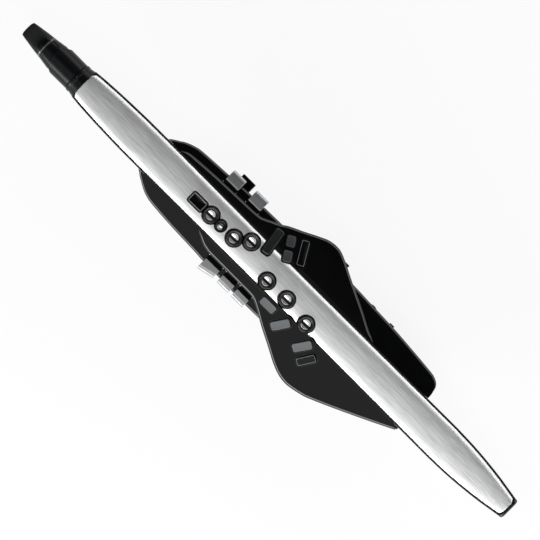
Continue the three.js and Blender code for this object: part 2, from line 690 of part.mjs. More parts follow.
const reedTip = 0.8;
const reedProfile = polygon([[0, -reedTip], [reedLength / 2, -reedThickness], [reedLength, -reedThickness],
  [reedLength, 0], [0, 0]]);
const reedForm = new THREE.ExtrudeGeometry(reedProfile, { depth: 2 * reedHalfWidth, bevelEnabled: false });
place('bite_reed', solidOf(reedForm.rotateX(Math.PI / 2).translate(tipX, reedHalfWidth, reedSeat - fitGap)),
  'rubber');

// Body tube: hollow, with a recess for the panel, holes for the keys and a window to the back shell
const windowHalfWidth = 14;
const hollowChamfer = 3;
const hollowStationShares = [0.021, 0.121, waistShare, 0.8425, 0.9026, 0.9627];
const windowStartShare = 0.2;
const windowEndShare = 0.74;
const hollow = loft([bodyX + tubeWall, ...hollowStationShares.map(alongBody), bodyEndX - tubeWall].map((x) => {
  const half = halfWidthAt(x) - tubeWall;
  const top = crownAt(x) - fallAt(half / halfWidthAt(x)) - panelThickness - tubeWall;
  const base = baseAt(x) + tubeWall;
  const corners = [[half, base + hollowChamfer], [half, top - hollowChamfer], [half - hollowChamfer, top]];
  return [
    ...corners.map(([y, z]) => [x, y, z]), ...corners.toReversed().map(([y, z]) => [x, -y, z]),
    [x, -half + hollowChamfer, base], [x, half - hollowChamfer, base],
  ];
}));
const tubeCuts = [
  hollow,
  panelLoft(fitGap, overrun * 2),
  neckPipe(boreRadius, bodyX - overrun, bodyX + 2 * tubeWall),
  block(alongBody(windowStartShare), alongBody(windowEndShare), -windowHalfWidth, windowHalfWidth, 0,
    bodyBase + 2 * overrun),
];
const cutTop = crownHeight + cupProud + overrun;
const cupHole = ({ x, y, radius }, gap) => solidOf(rod(radius + gap, stemBottom + overrun, cutTop))
  .translate([x, y, 0]);
const frontFShape = (gap) => roundedRectangle(frontFLength + 2 * gap, frontFWidth + 2 * gap, keyCorner + gap);
const frontFHole = (gap) => solidOf(upright(frontFShape(gap), stemBottom, cutTop))
  .translate([frontFKey.x, frontFKey.y, 0]);
const keyDepth = deckThickness + keyTail + keyTravel + keyGap;
const allBars = [...leftKeys, ...rightKeys];
const tubeKeyCuts = [
  ...roundKeys.map((key) => cupHole(key, fitGap)),
  frontFHole(keyGap),
  ...allBars.map((bar) => barCut(bar, keyGap, keyDepth)),
];
place('upper_body', cutAll(bodyLoft, [...tubeCuts, ...tubeKeyCuts]), 'satin');

// The panel stops short of the keys, and scallops round those that stand beside its edge
const barSurround = 1.6;
const scallop = 3.8;
const panelCuts = [
  ...roundKeys.map((key) => cupHole(key, cupSurround)),
  frontFHole(cupSurround + keyGap),
  ...leftKeys.map((bar) => barCut(bar, barSurround, keyDepth + overrun)),
  ...rightKeys.map((bar) => barCut(bar, scallop, keyDepth + overrun)),
];
place('front_panel', cutAll(panelLoft(0, 0), panelCuts), 'brushed');

for (const key of roundKeys) {
  place(`${key.name}_key_cup`, cupSolid(key), 'satin');
  place(`${key.name}_key_dish`, dishSolid(key, key.name === 'bis'), 'mirror');
}
const frontFTop = crownAt(frontFKey.x) + keyProud;
const frontFBottom = frontFTop - cupSkirt - keyProud;
place('front_f_key', solidOf(upright(frontFShape(0), frontFBottom, frontFTop, keyBevel))
  .translate([frontFKey.x, frontFKey.y, 0]), 'gloss');
for (const bar of allBars) place(bar.node, barSolid(bar), bar.finish);

const deckCuts = (bars) => [
  ...bars.map((bar) => barCut(bar, keyGap, keyDepth + overrun)),
  ...roundKeys.map((key) => cupHole(key, fitGap)),
];
place('left_key_deck', cutAll(deckLoft(sides.left), deckCuts(leftKeys)), 'gloss');
place('right_key_deck', cutAll(deckLoft(sides.right), deckCuts(rightKeys)), 'gloss');

// Palm keys on the left and side keys on the right: bent plates on hinge rods across notches in the shell
const leverLength = 17.8;
const leverBarrel = 2.4;
const leverRod = 1.1;
const leverPlate = 2.4;
const leverHingeDrop = 10;
const leverFaceDrop = 3.5;
const leverHingeHeight = shellTopHeight - leverHingeDrop;
const leverFaceHeight = shellTopHeight - leverFaceDrop;
const leverSlotDepth = 9;
const leverBend = 4.5;
const leverRoundShare = 0.4;
const leverTipShare = 0.8;
const leverElbowShare = 0.6;
const leverEnds = 0.6;

// Length and slant are shares of the lever length. Hinge, face and reach are shares of the shell's half width.
const levers = [
  { node: 'palm_d_key', side: sides.left, atShare: 0.2928, lengthShare: 1, slantShare: 0,
    hingeShare: 0.719, faceShare: 0.822, reachShare: 1.123 },
  { node: 'palm_e_flat_key', side: sides.left, atShare: 0.3438, lengthShare: 1.006, slantShare: 0,
    hingeShare: 0.742, faceShare: 0.845, reachShare: 1.153 },
  { node: 'side_b_flat_key', side: sides.right, atShare: 0.3651, lengthShare: 1.124, slantShare: 0.236,
    hingeShare: 0.753, faceShare: 0.849, reachShare: 1.116 },
  { node: 'side_c_key', side: sides.right, atShare: 0.4031, lengthShare: 0.955, slantShare: 0,
    hingeShare: 0.753, faceShare: 0.845, reachShare: 1.116 },
  { node: 'side_e_key', side: sides.right, atShare: 0.4367, lengthShare: 0.966, slantShare: 0,
    hingeShare: 0.765, faceShare: 0.845, reachShare: 1.119 },
].map((lever) => ({
  ...lever,
  length: lever.lengthShare * leverLength,
  slant: lever.slantShare * leverLength,
  hinge: lever.hingeShare * shellHalfWidth,
  face: lever.faceShare * shellHalfWidth,
  reach: lever.reachShare * shellHalfWidth,
}));
const leverSpan = (lever) => {
  const x = alongBody(lever.atShare);
  return [x - lever.length / 2, x + lever.length / 2];
};

// The plate rises from its hinge barrel, runs level over the shell's edge and bends down outside it
function leverSolid(lever) {
  const [x0, x1] = leverSpan(lever);
  const { sign } = lever.side;
  const tip = lever.reach + lever.slant;
  const foot = leverFaceHeight - leverPlate;
  const lowest = leverFaceHeight - 2 * leverBend;
  const profile = [
    [lever.hinge - leverBarrel, leverHingeHeight], [lever.face - leverPlate, foot],
    [lever.face, leverFaceHeight], [tip - leverBend, leverFaceHeight],
    [tip - leverBend * leverRoundShare, leverFaceHeight - leverPlate * leverRoundShare],
    [tip, leverFaceHeight - leverBend], [tip, lowest], [tip - leverPlate * leverTipShare, lowest],
    [tip - leverPlate, foot - leverPlate], [tip - leverBend, foot],
    [lever.face + leverPlate * leverElbowShare, foot], [lever.hinge + leverBarrel, leverHingeHeight],
  ].map(([y, z]) => [sign * y, z]);
  const plate = alongX(profile, x0, x1);
  const barrel = rodAlongX(leverBarrel, x0, x1, sign * lever.hinge, leverHingeHeight);
  const bore = rodAlongX(leverRod + fitGap, x0 - overrun, x1 + overrun, sign * lever.hinge, leverHingeHeight);
  const slant = lever.slant > 0 ? [slantCut(lever, x0, x1)] : [];
  return cutAll(plate.add(barrel), [bore, ...slant]);
}

// The first side key's outer edge runs slantwise, closer in towards the bell end
function slantCut(lever, x0, x1) {
  const { sign } = lever.side;
  const near = sign * lever.reach;
  const tip = sign * (lever.reach + lever.slant);
  const out = tip + sign * overrun;
  const wedge = polygon([[x0, tip], [x1 + overrun, near], [x1 + overrun, out], [x0, out]]);
  return solidOf(upright(wedge, 0, leverFaceHeight + overrun));
}

function leverNotch(lever) {
  const [x0, x1] = leverSpan(lever);
  const inner = lever.side.sign * (lever.hinge - leverBarrel - leverEnds);
  const outer = lever.side.sign * (lever.reach + lever.slant + overrun);
  const foot = shellTopAt(shellEdgeAt(lever.side, lever.atShare)) - leverSlotDepth;
  return block(x0 - leverEnds, x1 + leverEnds, Math.min(inner, outer), Math.max(inner, outer), foot,
    crownHeight);
}

function leverRodSolid(lever) {
  const [x0, x1] = leverSpan(lever);
  const y = lever.side.sign * lever.hinge;
  return rodAlongX(leverRod, x0 - leverEnds - shellWall, x1 + leverEnds + shellWall, y, leverHingeHeight);
}
for (const lever of levers) place(lever.node, leverSolid(lever), 'silver');

// Battery bay: a bulge on the back that the instrument lies on, with its cells and a cover let into its foot
const cellRadius = 7.25;
const cellLength = 50.5;
const cellNub = 1;
const cellNubRadius = 2.6;
const cellsAlong = 2;
const cellsAcross = 3;
const cellGap = 0.4;
const coverThickness = 2;
const coverSink = 0.4;
const bayLedge = 2;
const bulgeWall = 4;
const bulgeBevel = 4;
const bulgeCorner = 9;
const bayCorner = 1.2;
const bulgeShare = 0.663;
const bulgeX = alongBody(bulgeShare);
const bayLength = cellsAlong * (cellLength + cellGap) + 4 * cellGap;
const bayWidth = cellsAcross * (2 * cellRadius + cellGap) + cellGap;
const cellAxisZ = coverSink + coverThickness + fitGap + cellRadius;
const bayTop = cellAxisZ + cellRadius + fitGap;
const coverLength = bayLength + 2 * bayLedge;
const coverWidth = bayWidth + 2 * bayLedge;
const coverTop = coverSink + coverThickness;
const bulgeGrow = 2 * (bulgeWall + bulgeBevel);
const overBay = (shape, bottom, top, bevel = 0) => solidOf(upright(shape, bottom, top, bevel))
  .translate([bulgeX, 0, 0]);
const coverShape = (gap) => roundedRectangle(coverLength + 2 * gap, coverWidth + 2 * gap, bayCorner + bayLedge);
const bulgeShape = roundedRectangle(coverLength + bulgeGrow, coverWidth + bulgeGrow, bulgeCorner);
const bulgeSolid = overBay(bulgeShape, 0, shellFloor + 2 * shellWall, bulgeBevel);
const bayCut = overBay(roundedRectangle(bayLength, bayWidth, bayCorner), -overrun, bayTop);
const coverCut = overBay(coverShape(fitGap), -overrun, coverTop + fitGap);
place('battery_cover', overBay(coverShape(0), coverSink, coverTop), 'satin');
for (let i = 0; i < cellsAlong * cellsAcross; i += 1) {
  const row = Math.floor(i / cellsAcross);
  const x0 = bulgeX + (row - cellsAlong / 2) * (cellLength + cellGap) + cellGap / 2;
  const y = ((i % cellsAcross) - (cellsAcross - 1) / 2) * (2 * cellRadius + cellGap);
  const x1 = x0 + cellLength;
  const cell = turnedAlongX([[0, x0], [cellRadius, x0], [cellRadius, x1 - cellNub],
    [cellNubRadius, x1 - cellNub], [cellNubRadius, x1], [0, x1]], smallSteps);
  place(`battery_${i + 1}`, solidOf(cell.translate(0, y, cellAxisZ)), 'cell');
}

// Back of the shell: thumb hook, strap loop, thumb rest, octave keys, display and its two buttons
const backZ = shellFloor - fitGap;
const hookShare = 0.468;
const hookWidth = 18;
const hookPlate = 3;
const hookHalfBase = 15;
const hookPost = 5;
const hookLip = 3.6;
const hookReach = 20;
const hookX = alongBody(hookShare);
const hookPostX = hookX - hookHalfBase + hookPlate;
const hookTipX = hookX + hookReach;
const plateZ = backZ - hookPlate;
// Rows count from the post in posts and from the plate's foot in plates, or from the lip in lips
const hookTopShares = [[2, 0], [1.3, 0.4], [1, 1.4]];
const hookThroatShares = [[1, 2.4], [1.3, 1.4], [2, 1]];
const hookTipShares = [[-1, 1], [0, 1.6], [0.6, 1], [0, 0.3], [-1, 0]];
const hookHeelShares = [[1, 0], [0.3, 0.5], [0, 1.8]];
const fromPost = ([out, up]) => [hookPostX + out * hookPost, up * hookLip];
place('thumb_hook', alongY([
  [hookX - hookHalfBase, backZ], [hookX + hookHalfBase, backZ], [hookX + hookHalfBase, plateZ],
  ...hookTopShares.map(([out, down]) => [hookPostX + out * hookPost, plateZ - down * hookPlate]),
  ...hookThroatShares.map(fromPost),
  ...hookTipShares.map(([out, up]) => [hookTipX + out * hookLip, up * hookLip]),
  ...hookHeelShares.map(fromPost),
  [hookPostX, plateZ], [hookX - hookHalfBase, plateZ],
], -hookWidth / 2, hookWidth / 2), 'satin');

const loopShare = 0.411;
const loopRadius = 7;
const loopHole = 4;
const loopThickness = 4;
const loopBase = 16;
const loopBaseHeight = 2.2;
const loopX = alongBody(loopShare);
const rodAlongY = (radius, x, z, y0, y1) => solidOf(rod(radius, -y1, -y0, smallSteps)
  .rotateX(Math.PI / 2).translate(x, 0, z));
const loopZ = backZ - loopRadius - loopBaseHeight / 2;
const loopFootShape = roundedRectangle(loopBase, loopBase, keyCorner);
const loopFoot = solidOf(upright(loopFootShape, backZ - loopBaseHeight, backZ)).translate([loopX, 0, 0]);
const loopSolid = rodAlongY(loopRadius, loopX, loopZ, -loopThickness / 2, loopThickness / 2).add(loopFoot)
  .subtract(rodAlongY(loopHole, loopX, loopZ, -loopThickness, loopThickness));
place('strap_loop', loopSolid, 'satin');

const thumbRestShare = 0.332;
const thumbRestRadius = 11;
const thumbRestHeight = 4.3;
const thumbRestX = alongBody(thumbRestShare);
const thumbRestShares = [[0, 0], [1, 0], [1, 0.3], [0.8, 0.8], [0.4, 0.97], [0, 1]];
const thumbRestProfile = thumbRestShares.map(([out, down]) => [out * thumbRestRadius,
  backZ - down * thumbRestHeight]);
place('thumb_rest', solidOf(turned(thumbRestProfile)).translate([thumbRestX, 0, 0]), 'rubber');

const octaveLength = 9;
const octaveWidth = 24;
const octaveProud = 3.6;
const octaveInside = 4;
const octaveGap = 1.6;
const octaveOffset = thumbRestRadius + octaveGap + octaveLength / 2;
const octaveKeys = [
  { node: 'low_octave_key', x: thumbRestX - octaveOffset },
  { node: 'high_octave_key', x: thumbRestX + octaveOffset },
];
const octaveSolid = (x, gap, bottom, top, bevel) => solidOf(upright(
  roundedRectangle(octaveLength + 2 * gap, octaveWidth + 2 * gap, keyCorner), bottom, top, bevel,
)).translate([x, 0, 0]);
for (const { node, x } of octaveKeys) {
  place(node, octaveSolid(x, 0, shellFloor - octaveProud, shellFloor + octaveInside, keyBevel), 'satin');
}
const octaveCuts = octaveKeys.map(({ x }) => octaveSolid(x, keyGap, 0, shellFloor + octaveInside + overrun, 0));

const displayShare = 0.246;
const displayLength = 30;
const displayWidth = 16;
const displayThickness = 1.3;
const displayX = alongBody(displayShare);
const displaySolid = (gap, bottom) => solidOf(upright(
  roundedRectangle(displayLength + 2 * gap, displayWidth + 2 * gap, keyCorner), bottom,
  shellFloor + displayThickness + gap,
)).translate([displayX, 0, 0]);
place('display_window', displaySolid(0, shellFloor), 'lens');
const displayCut = displaySolid(fitGap, 0);

const buttonRadius = 3.2;
const buttonProud = 1.2;
const buttonInside = 4;
const buttonY = 6;
const buttonX = displayX + displayLength / 2 + buttonRadius + octaveInside;
const buttonRod = (gap, y, bottom, top) => solidOf(rod(buttonRadius + gap, bottom, top, smallSteps))
  .translate([buttonX, y, 0]);
const buttons = [{ node: 'menu_button_1', y: -buttonY }, { node: 'menu_button_2', y: buttonY }];
for (const { node, y } of buttons) {
  place(node, buttonRod(0, y, shellFloor - buttonProud, shellFloor + buttonInside), 'rubber');
}
const buttonCuts = buttons.map(({ y }) => buttonRod(fitGap, y, 0, shellFloor + buttonInside + overrun));

// Left wall: volume wheel, power switch, sockets, cord hook and the black palm key
const wallYAt = (share) => shellEdgeAt(sides.left, share);
const wheelShare = 0.607;
const wheelRadius = 9;
const wheelThickness = 5;
const wheelProud = 1.2;
const wheelPin = 1.5;
const wheelDrop = 21.2;
const wheelZ = shellTopHeight - wheelDrop;
const wheelTop = wheelZ + wheelThickness;
const wheelX = alongBody(wheelShare);
const wheelY = wallYAt(wheelShare) + wheelProud - wheelRadius;
const uprightRod = (radius, x, y, bottom, top) => solidOf(rod(radius, bottom, top)).translate([x, y, 0]);
const wheelRod = (radius, over) => uprightRod(radius, wheelX, wheelY, wheelZ - over, wheelTop + over);
place('volume_knob', wheelRod(wheelRadius, 0).subtract(wheelRod(wheelPin + fitGap, overrun)), 'satin');
const frameGap = fitGap + shellWall;
const wheelFrameHalf = wheelRadius + frameGap;
const wheelFrame = block(wheelX - wheelFrameHalf, wheelX + wheelFrameHalf, wheelY - wheelFrameHalf,
  wheelY + wheelFrameHalf, wheelZ - frameGap, wheelTop + frameGap);
const wheelCut = wheelRod(wheelRadius + fitGap, fitGap);
const wheelPinSolid = wheelRod(wheelPin, shellWall);

const switchShare = 0.651;
const switchLength = 6;
const switchHeight = 3;
const switchDepth = 4.4;
const switchProud = 1.6;
const switchTravel = 2;
const switchDrop = 19.4;
const switchZ = shellTopHeight - switchDrop;
const switchTop = switchZ + switchHeight;
const switchX = alongBody(switchShare);
const switchOutY = wallYAt(switchShare) + switchProud;
const switchInY = switchOutY - switchDepth;
const switchBox = (half, y0, y1, gap) => block(switchX - half, switchX + half, y0, y1, switchZ - gap,
  switchTop + gap);
place('power_switch', switchBox(switchLength / 2, switchInY, switchOutY, 0), 'satin');
const switchHalfSlot = switchLength / 2 + switchTravel + fitGap;
const switchCut = switchBox(switchHalfSlot, switchInY - fitGap, switchOutY + overrun, fitGap);
const switchFrame = switchBox(switchHalfSlot + shellWall, switchInY - frameGap, switchOutY, frameGap);

const socketShare = 0.703;
const socketPanelLength = 37;
const socketPanelHeight = 14;
const socketPanelThickness = 2;
const socketPanelDrop = 32;
const socketPanelZ = shellTopHeight - socketPanelDrop;
const socketSink = 7;
const socketBack = 4.2;
const socketBarrel = 5;
const socketDepth = 12;
const jackRadius = 3.25;
const powerRadius = 3.1;
const usbLength = 9;
const usbHeight = 4.6;
const socketPitch = 12;
const socketX = alongBody(socketShare);
const socketFaceY = wallYAt(socketShare) - socketSink;
const socketZ = socketPanelZ + socketPanelHeight / 2;
const socketPanelBox = (gap, y0, y1) => block(socketX - socketPanelLength / 2 - gap,
  socketX + socketPanelLength / 2 + gap, y0, y1, socketPanelZ - gap, socketPanelZ + socketPanelHeight + gap);
const socketBackY = socketFaceY - socketPanelThickness;
const socketEndY = socketFaceY - socketDepth;
const barrels = (gap) => joinAll([-1, 0, 1].map((k) => rodAlongY(socketBarrel + gap, socketX + k * socketPitch,
  socketZ, socketEndY - gap, socketFaceY - fitGap)));
const socketHole = (radius, k) => rodAlongY(radius, socketX + k * socketPitch, socketZ, socketEndY + shellWall,
  socketFaceY + overrun);
const socketHoles = [
  socketHole(jackRadius, -1),
  socketHole(powerRadius, 1),
  block(socketX - usbLength / 2, socketX + usbLength / 2, socketEndY + shellWall, socketFaceY + overrun,
    socketZ - usbHeight / 2, socketZ + usbHeight / 2),
];
place('jack_panel', cutAll(socketPanelBox(0, socketBackY, socketFaceY).add(barrels(0)), socketHoles), 'satin');
const socketOutY = socketFaceY + 2 * socketSink;
const socketCuts = [socketPanelBox(fitGap, socketBackY - fitGap, socketOutY), barrels(fitGap)];
const socketFrame = socketPanelBox(shellWall, socketBackY - socketBack, socketOutY);

const cordHookShare = 0.524;
const cordHookWidth = 7;
const cordHookReach = 2.6;
const cordHookThickness = 1.5;
const cordHookX = alongBody(cordHookShare);
const cordHookY = wallYAt(cordHookShare);
const cordHookZ = shellTopAt(cordHookY) - shellRim;
const cordHookSolid = alongX([
  [cordHookY - shellWall, cordHookZ], [cordHookY + cordHookReach, cordHookZ],
  [cordHookY + cordHookReach, cordHookZ + 2 * cordHookThickness],
  [cordHookY + cordHookReach - cordHookThickness, cordHookZ + 2 * cordHookThickness],
  [cordHookY + cordHookReach - cordHookThickness, cordHookZ + cordHookThickness],
  [cordHookY - shellWall, cordHookZ + cordHookThickness],
], cordHookX - cordHookWidth / 2, cordHookX + cordHookWidth / 2);

const sidePalmShare = 0.3074;
const sidePalmLength = 17.9;
const sidePalmHeight = 9;
const sidePalmDrop = 23.6;
const sidePalmZ = shellTopHeight - sidePalmDrop;
const sidePalmInside = 6;
const sidePalmOut = 53.6;
const sidePalmX = alongBody(sidePalmShare);
const sidePalmShape = (gap) => roundedRectangle(sidePalmLength + 2 * gap, sidePalmHeight + 2 * gap, keyCorner);
const sidePalmSolid = (gap, y0, y1, bevel) => solidOf(upright(sidePalmShape(gap), -y1, -y0, bevel)
  .rotateX(Math.PI / 2).translate(sidePalmX, 0, sidePalmZ));
const sidePalmIn = wallYAt(sidePalmShare) - sidePalmInside;
place('palm_f_key', sidePalmSolid(0, sidePalmIn, sidePalmOut, keyBevel), 'gloss');
const sidePalmCut = sidePalmSolid(keyGap, sidePalmIn - overrun, sidePalmOut + overrun, 0);

// Back shell: an outer skin with a trough for the tube, hollow, with frames where its fittings sit
const troughStartShare = 0.11;
const troughEndShare = 0.84;
const troughStationShares = bodyStationShares
  .filter((share) => share > troughStartShare && share < troughEndShare);
const shellOuter = shellLoft(shellStationShares, 0, 0);
const shellCavity = shellLoft(cavityStationShares, shellWall, shellWall);
const cheekHalf = 5;
const leverCheeks = levers.flatMap((lever) => leverSpan(lever).map((x, i) => {
  const start = i === 0 ? x - leverEnds - shellWall : x + leverEnds;
  const y = lever.side.sign * lever.hinge;
  return block(start, start + shellWall, y - cheekHalf, y + cheekHalf, leverHingeHeight - cheekHalf,
    crownHeight);
}));
const frames = joinAll([wheelFrame, switchFrame, socketFrame, ...leverCheeks]).intersect(shellOuter);
const shellBody = shellOuter.subtract(shellCavity).add(frames).add(bulgeSolid);
const troughStations = [bodyX, ...troughStationShares.map(alongBody), bodyEndX];
const troughCut = loft(troughStations.map((x) => bodyRing(x, fitGap)));
const shellCuts = [
  troughCut, bayCut, coverCut, displayCut, wheelCut, switchCut, ...socketCuts, sidePalmCut,
  ...octaveCuts, ...buttonCuts, ...levers.map(leverNotch),
];
const shellAdded = joinAll([...levers.map(leverRodSolid), wheelPinSolid, cordHookSolid]);
place('back_shell', cutAll(shellBody, shellCuts).add(shellAdded), 'satin');

// Inside the tube: the circuit board and the breath sensor. At its end: the cap.
const boardTop = boardHeight + boardThickness;
place('circuit_board', block(boardX, boardEndX, -boardHalfWidth, boardHalfWidth, boardHeight, boardTop),
  'board');
const sensorRadius = 7.5;
const sensorLength = 22;
const nozzleLength = 5;
const sensorX = bodyX + tubeWall + nozzleLength;
const sensorEndX = sensorX + sensorLength;
const nozzleRadius = boreRadius - fitGap;
place('breath_sensor', onNeck([[0, bodyX + fitGap], [nozzleRadius, bodyX + fitGap], [nozzleRadius, sensorX],
  [sensorRadius, sensorX], [sensorRadius, sensorEndX], [0, sensorEndX]]), 'board');

const capHalfWidth = halfWidthAt(bodyEndX);
const capTop = crownAt(bodyEndX) - fitGap;
const capBottom = baseAt(bodyEndX);
const capBevel = 1.5;
const capShape = roundedRectangle(capTop - capBottom, 2 * capHalfWidth, cornerRadius);
place('end_cap', solidOf(upright(capShape, bodyEndX + fitGap, bodyEndX + capLength, capBevel)
  .rotateY(Math.PI / 2).translate(0, 0, (capTop + capBottom) / 2)), 'satin');

export default model;
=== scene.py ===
"""A digital wind controller, dressed round its CAD frame: fine skins, finishes, lights and camera.

Lengths are millimetres, until a mesh is made and they become metres. X runs from the mouthpiece to the
bell end, Y to the player's left and Z out of the front. A "share" is a part of a length, from 0 to 1.
"""

from __future__ import annotations

import logging
import math
from collections.abc import Callable, Sequence
from dataclasses import dataclass
from enum import Enum

import bmesh
import bpy
import numpy as np
from mathutils import Matrix

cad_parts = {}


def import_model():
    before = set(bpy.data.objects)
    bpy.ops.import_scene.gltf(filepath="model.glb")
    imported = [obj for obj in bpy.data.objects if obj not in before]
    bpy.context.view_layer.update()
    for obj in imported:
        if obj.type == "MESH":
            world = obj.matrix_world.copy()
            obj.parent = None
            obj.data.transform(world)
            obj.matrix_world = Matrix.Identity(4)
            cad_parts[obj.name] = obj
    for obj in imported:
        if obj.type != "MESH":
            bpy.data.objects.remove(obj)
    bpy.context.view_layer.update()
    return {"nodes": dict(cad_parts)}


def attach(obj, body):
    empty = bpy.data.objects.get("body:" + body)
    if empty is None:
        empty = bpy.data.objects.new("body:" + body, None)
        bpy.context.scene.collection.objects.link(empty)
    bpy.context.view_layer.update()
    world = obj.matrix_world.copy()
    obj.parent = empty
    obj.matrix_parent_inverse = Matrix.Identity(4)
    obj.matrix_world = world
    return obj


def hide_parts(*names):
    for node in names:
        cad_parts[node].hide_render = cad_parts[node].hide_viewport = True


log = logging.getLogger("wind_controller")

Piece = bpy.types.Object
Curve = Callable[[np.ndarray], np.ndarray]
Rows = Sequence[Sequence[float]]
Pair = tuple[float, float]

MM = 0.001
TAU = 2 * math.pi
MERGE = 2e-6
CREASE = math.radians(32)
FIT_GAP = 0.3
KEY_GAP = 0.4
OVERRUN = 3.0
PLAN_CORNER = 1.6
BODY = "instrument"


# Curves and outlines


def smooth_curve(rows: Rows) -> Curve:
    """A curve through rows of place and value, by rising place, that never overshoots.

    Its pieces are cubic, and its slope at a row is the harmonic mean of the slopes beside it.
    """
    places, values = np.array(rows, float).T
    slopes = np.diff(values) / np.diff(places)
    tangents = np.concatenate([slopes[:1], np.zeros(len(slopes) - 1), slopes[-1:]])
    before, after = slopes[:-1], slopes[1:]
    alike = before * after > 0
    tangents[1:-1] = np.where(alike, 2 * before * after / np.where(alike, before + after, 1), 0)

    def value(place: np.ndarray) -> np.ndarray:
        """The curve's value at each place."""
        i = np.clip(np.searchsorted(places, place) - 1, 0, len(places) - 2)
        span = places[i + 1] - places[i]
        t = np.clip((place - places[i]) / span, 0, 1)
        rest = 1 - t
        return (values[i] * (1 + 2 * t) * rest**2 + tangents[i] * span * t * rest**2
                + values[i + 1] * t**2 * (3 - 2 * t) - tangents[i + 1] * span * t**2 * rest)

    return value


def soften(points: Rows, radius: float, steps: int = 4, closed: bool = False) -> np.ndarray:
    """A line with each corner P turned into a parabola from P + a to P + b: P + a(1-t)^2 + b t^2.

    A curve starts at radius from its corner, or just before the middle of a short side.
    """
    line = np.array(points, float)
    before, after = np.roll(line, 1, 0) - line, np.roll(line, -1, 0) - line

    def reach(arm: np.ndarray) -> np.ndarray:
        """The part of an arm that the curve takes."""
        length = np.maximum(np.linalg.norm(arm, axis=1, keepdims=True), 1e-9)
        return arm / length * np.minimum(radius, 0.49 * length)

    t = np.linspace(0, 1, steps + 1)[None, :, None]
    curves = line[:, None] + reach(before)[:, None] * (1 - t) ** 2 + reach(after)[:, None] * t**2
    if closed:
        return curves.reshape(-1, line.shape[1])
    inner = curves[1:-1].reshape(-1, line.shape[1])
    return np.vstack([line[:1], inner, line[-1:]])


def rounded_outline(length: float, width: float, radius: float, steps: int = 6) -> np.ndarray:
    """A rectangle about zero whose corners are quarter circles, anticlockwise, as rows of two."""
    half = np.array([length, width]) / 2
    r = max(min(radius, *half), 1e-4)
    quarter = np.linspace(0, math.pi / 2, steps + 1)
    angles = (np.arange(4)[:, None] * math.pi / 2 + quarter).ravel()
    signs = np.repeat([[1, 1], [-1, 1], [-1, -1], [1, -1]], steps + 1, axis=0)
    return signs * (half - r) + r * circle(angles)


def grown(size: Pair, gap: float) -> Pair:
    """A length and width, wider by gap on every side."""
    return size[0] + 2 * gap, size[1] + 2 * gap


def inset(outline: np.ndarray, depth: float) -> np.ndarray:
    """A closed anticlockwise line moved inwards by depth along the mean of its neighbours' normals."""
    ahead = np.roll(outline, -1, 0) - np.roll(outline, 1, 0)
    length = np.maximum(np.linalg.norm(ahead, axis=1, keepdims=True), 1e-9)
    return outline + depth * np.stack([-ahead[:, 1], ahead[:, 0]], 1) / length


def quarter_arc(steps: int) -> np.ndarray:
    """Pairs of (1 - cos, sin) over a quarter turn: how far in and how far up a fillet has come."""
    angle = np.linspace(0, math.pi / 2, steps + 1)
    return np.stack([1 - np.cos(angle), np.sin(angle)], 1)


def circle(angle: np.ndarray) -> np.ndarray:
    """Points of the unit circle, as rows of two."""
    return np.stack([np.cos(angle), np.sin(angle)], 1)


def signed_area(line: np.ndarray) -> float:
    """Twice the area inside a closed line, negative where it runs clockwise."""
    x, y = line.T
    return float(np.sum(x * np.roll(y, -1) - np.roll(x, -1) * y))


def at_height(outline: np.ndarray, z: float) -> np.ndarray:
    """A flat outline raised to a height."""
    return np.column_stack([outline, np.full(len(outline), z)])


def sections(x: np.ndarray, y: np.ndarray, z: np.ndarray) -> np.ndarray:
    """A grid of points with one section, a row of y and z, at each x."""
    return np.stack([x[:, None] + 0 * y, y, z], -1)


def transform(points: np.ndarray, matrix: Matrix) -> np.ndarray:
    """Points of any grid carried by a matrix."""
    whole = np.array(matrix)
    return points @ whole[:3, :3].T + whole[:3, 3]


def frame_of(x: float = 0, y: float = 0, z: float = 0, turn: float = 0, tilt: float = 0) -> Matrix:
    """A turn about Z, then a tilt about X, then a move, with angles in degrees."""
    return (Matrix.Translation((x, y, z)) @ Matrix.Rotation(math.radians(tilt), 4, "X")
            @ Matrix.Rotation(math.radians(turn), 4, "Z"))


# Lying down: a shape drawn upright along Z, laid along X or pointing out along Y
ALONG_X = Matrix(((0, 0, 1, 0), (1, 0, 0, 0), (0, 1, 0, 0), (0, 0, 0, 1)))
ALONG_Y = Matrix(((-1, 0, 0, 0), (0, 0, 1, 0), (0, 1, 0, 0), (0, 0, 0, 1)))


def along_x(x: float = 0, y: float = 0, z: float = 0) -> Matrix:
    """A place for a form that is drawn along Z and lies along X."""
    return Matrix.Translation((x, y, z)) @ ALONG_X


def along_y(x: float = 0, z: float = 0) -> Matrix:
    """A place for a form that is drawn along Z and points out along Y."""
    return Matrix.Translation((x, 0, z)) @ ALONG_Y


# Surfaces


def grid_faces(rows: int, columns: int, ring: bool) -> np.ndarray:
    """Four-cornered faces, as point numbers, on a grid whose columns close; a ring's rows close too."""
    row = np.arange(rows if ring else rows - 1)[:, None]
    column = np.arange(columns)[None, :]
    below = (row + 1) % rows
    beside = (column + 1) % columns
    corners = [row * columns + column, row * columns + beside, below * columns + beside, below * columns + column]
    return np.stack(corners, -1).reshape(-1, 4)


def finish_mesh(mesh: bpy.types.Mesh) -> None:
    """Merges doubles, turns faces outwards and smooths all but the edges sharper than CREASE."""
    shape = bmesh.new()
    shape.from_mesh(mesh)
    bmesh.ops.remove_doubles(shape, verts=shape.verts, dist=MERGE)
    bmesh.ops.dissolve_degenerate(shape, edges=shape.edges, dist=MERGE)
    bmesh.ops.recalc_face_normals(shape, faces=shape.faces)
    shape.to_mesh(mesh)
    shape.free()
    mesh.shade_smooth()
    mesh.set_sharp_from_angle(angle=CREASE)


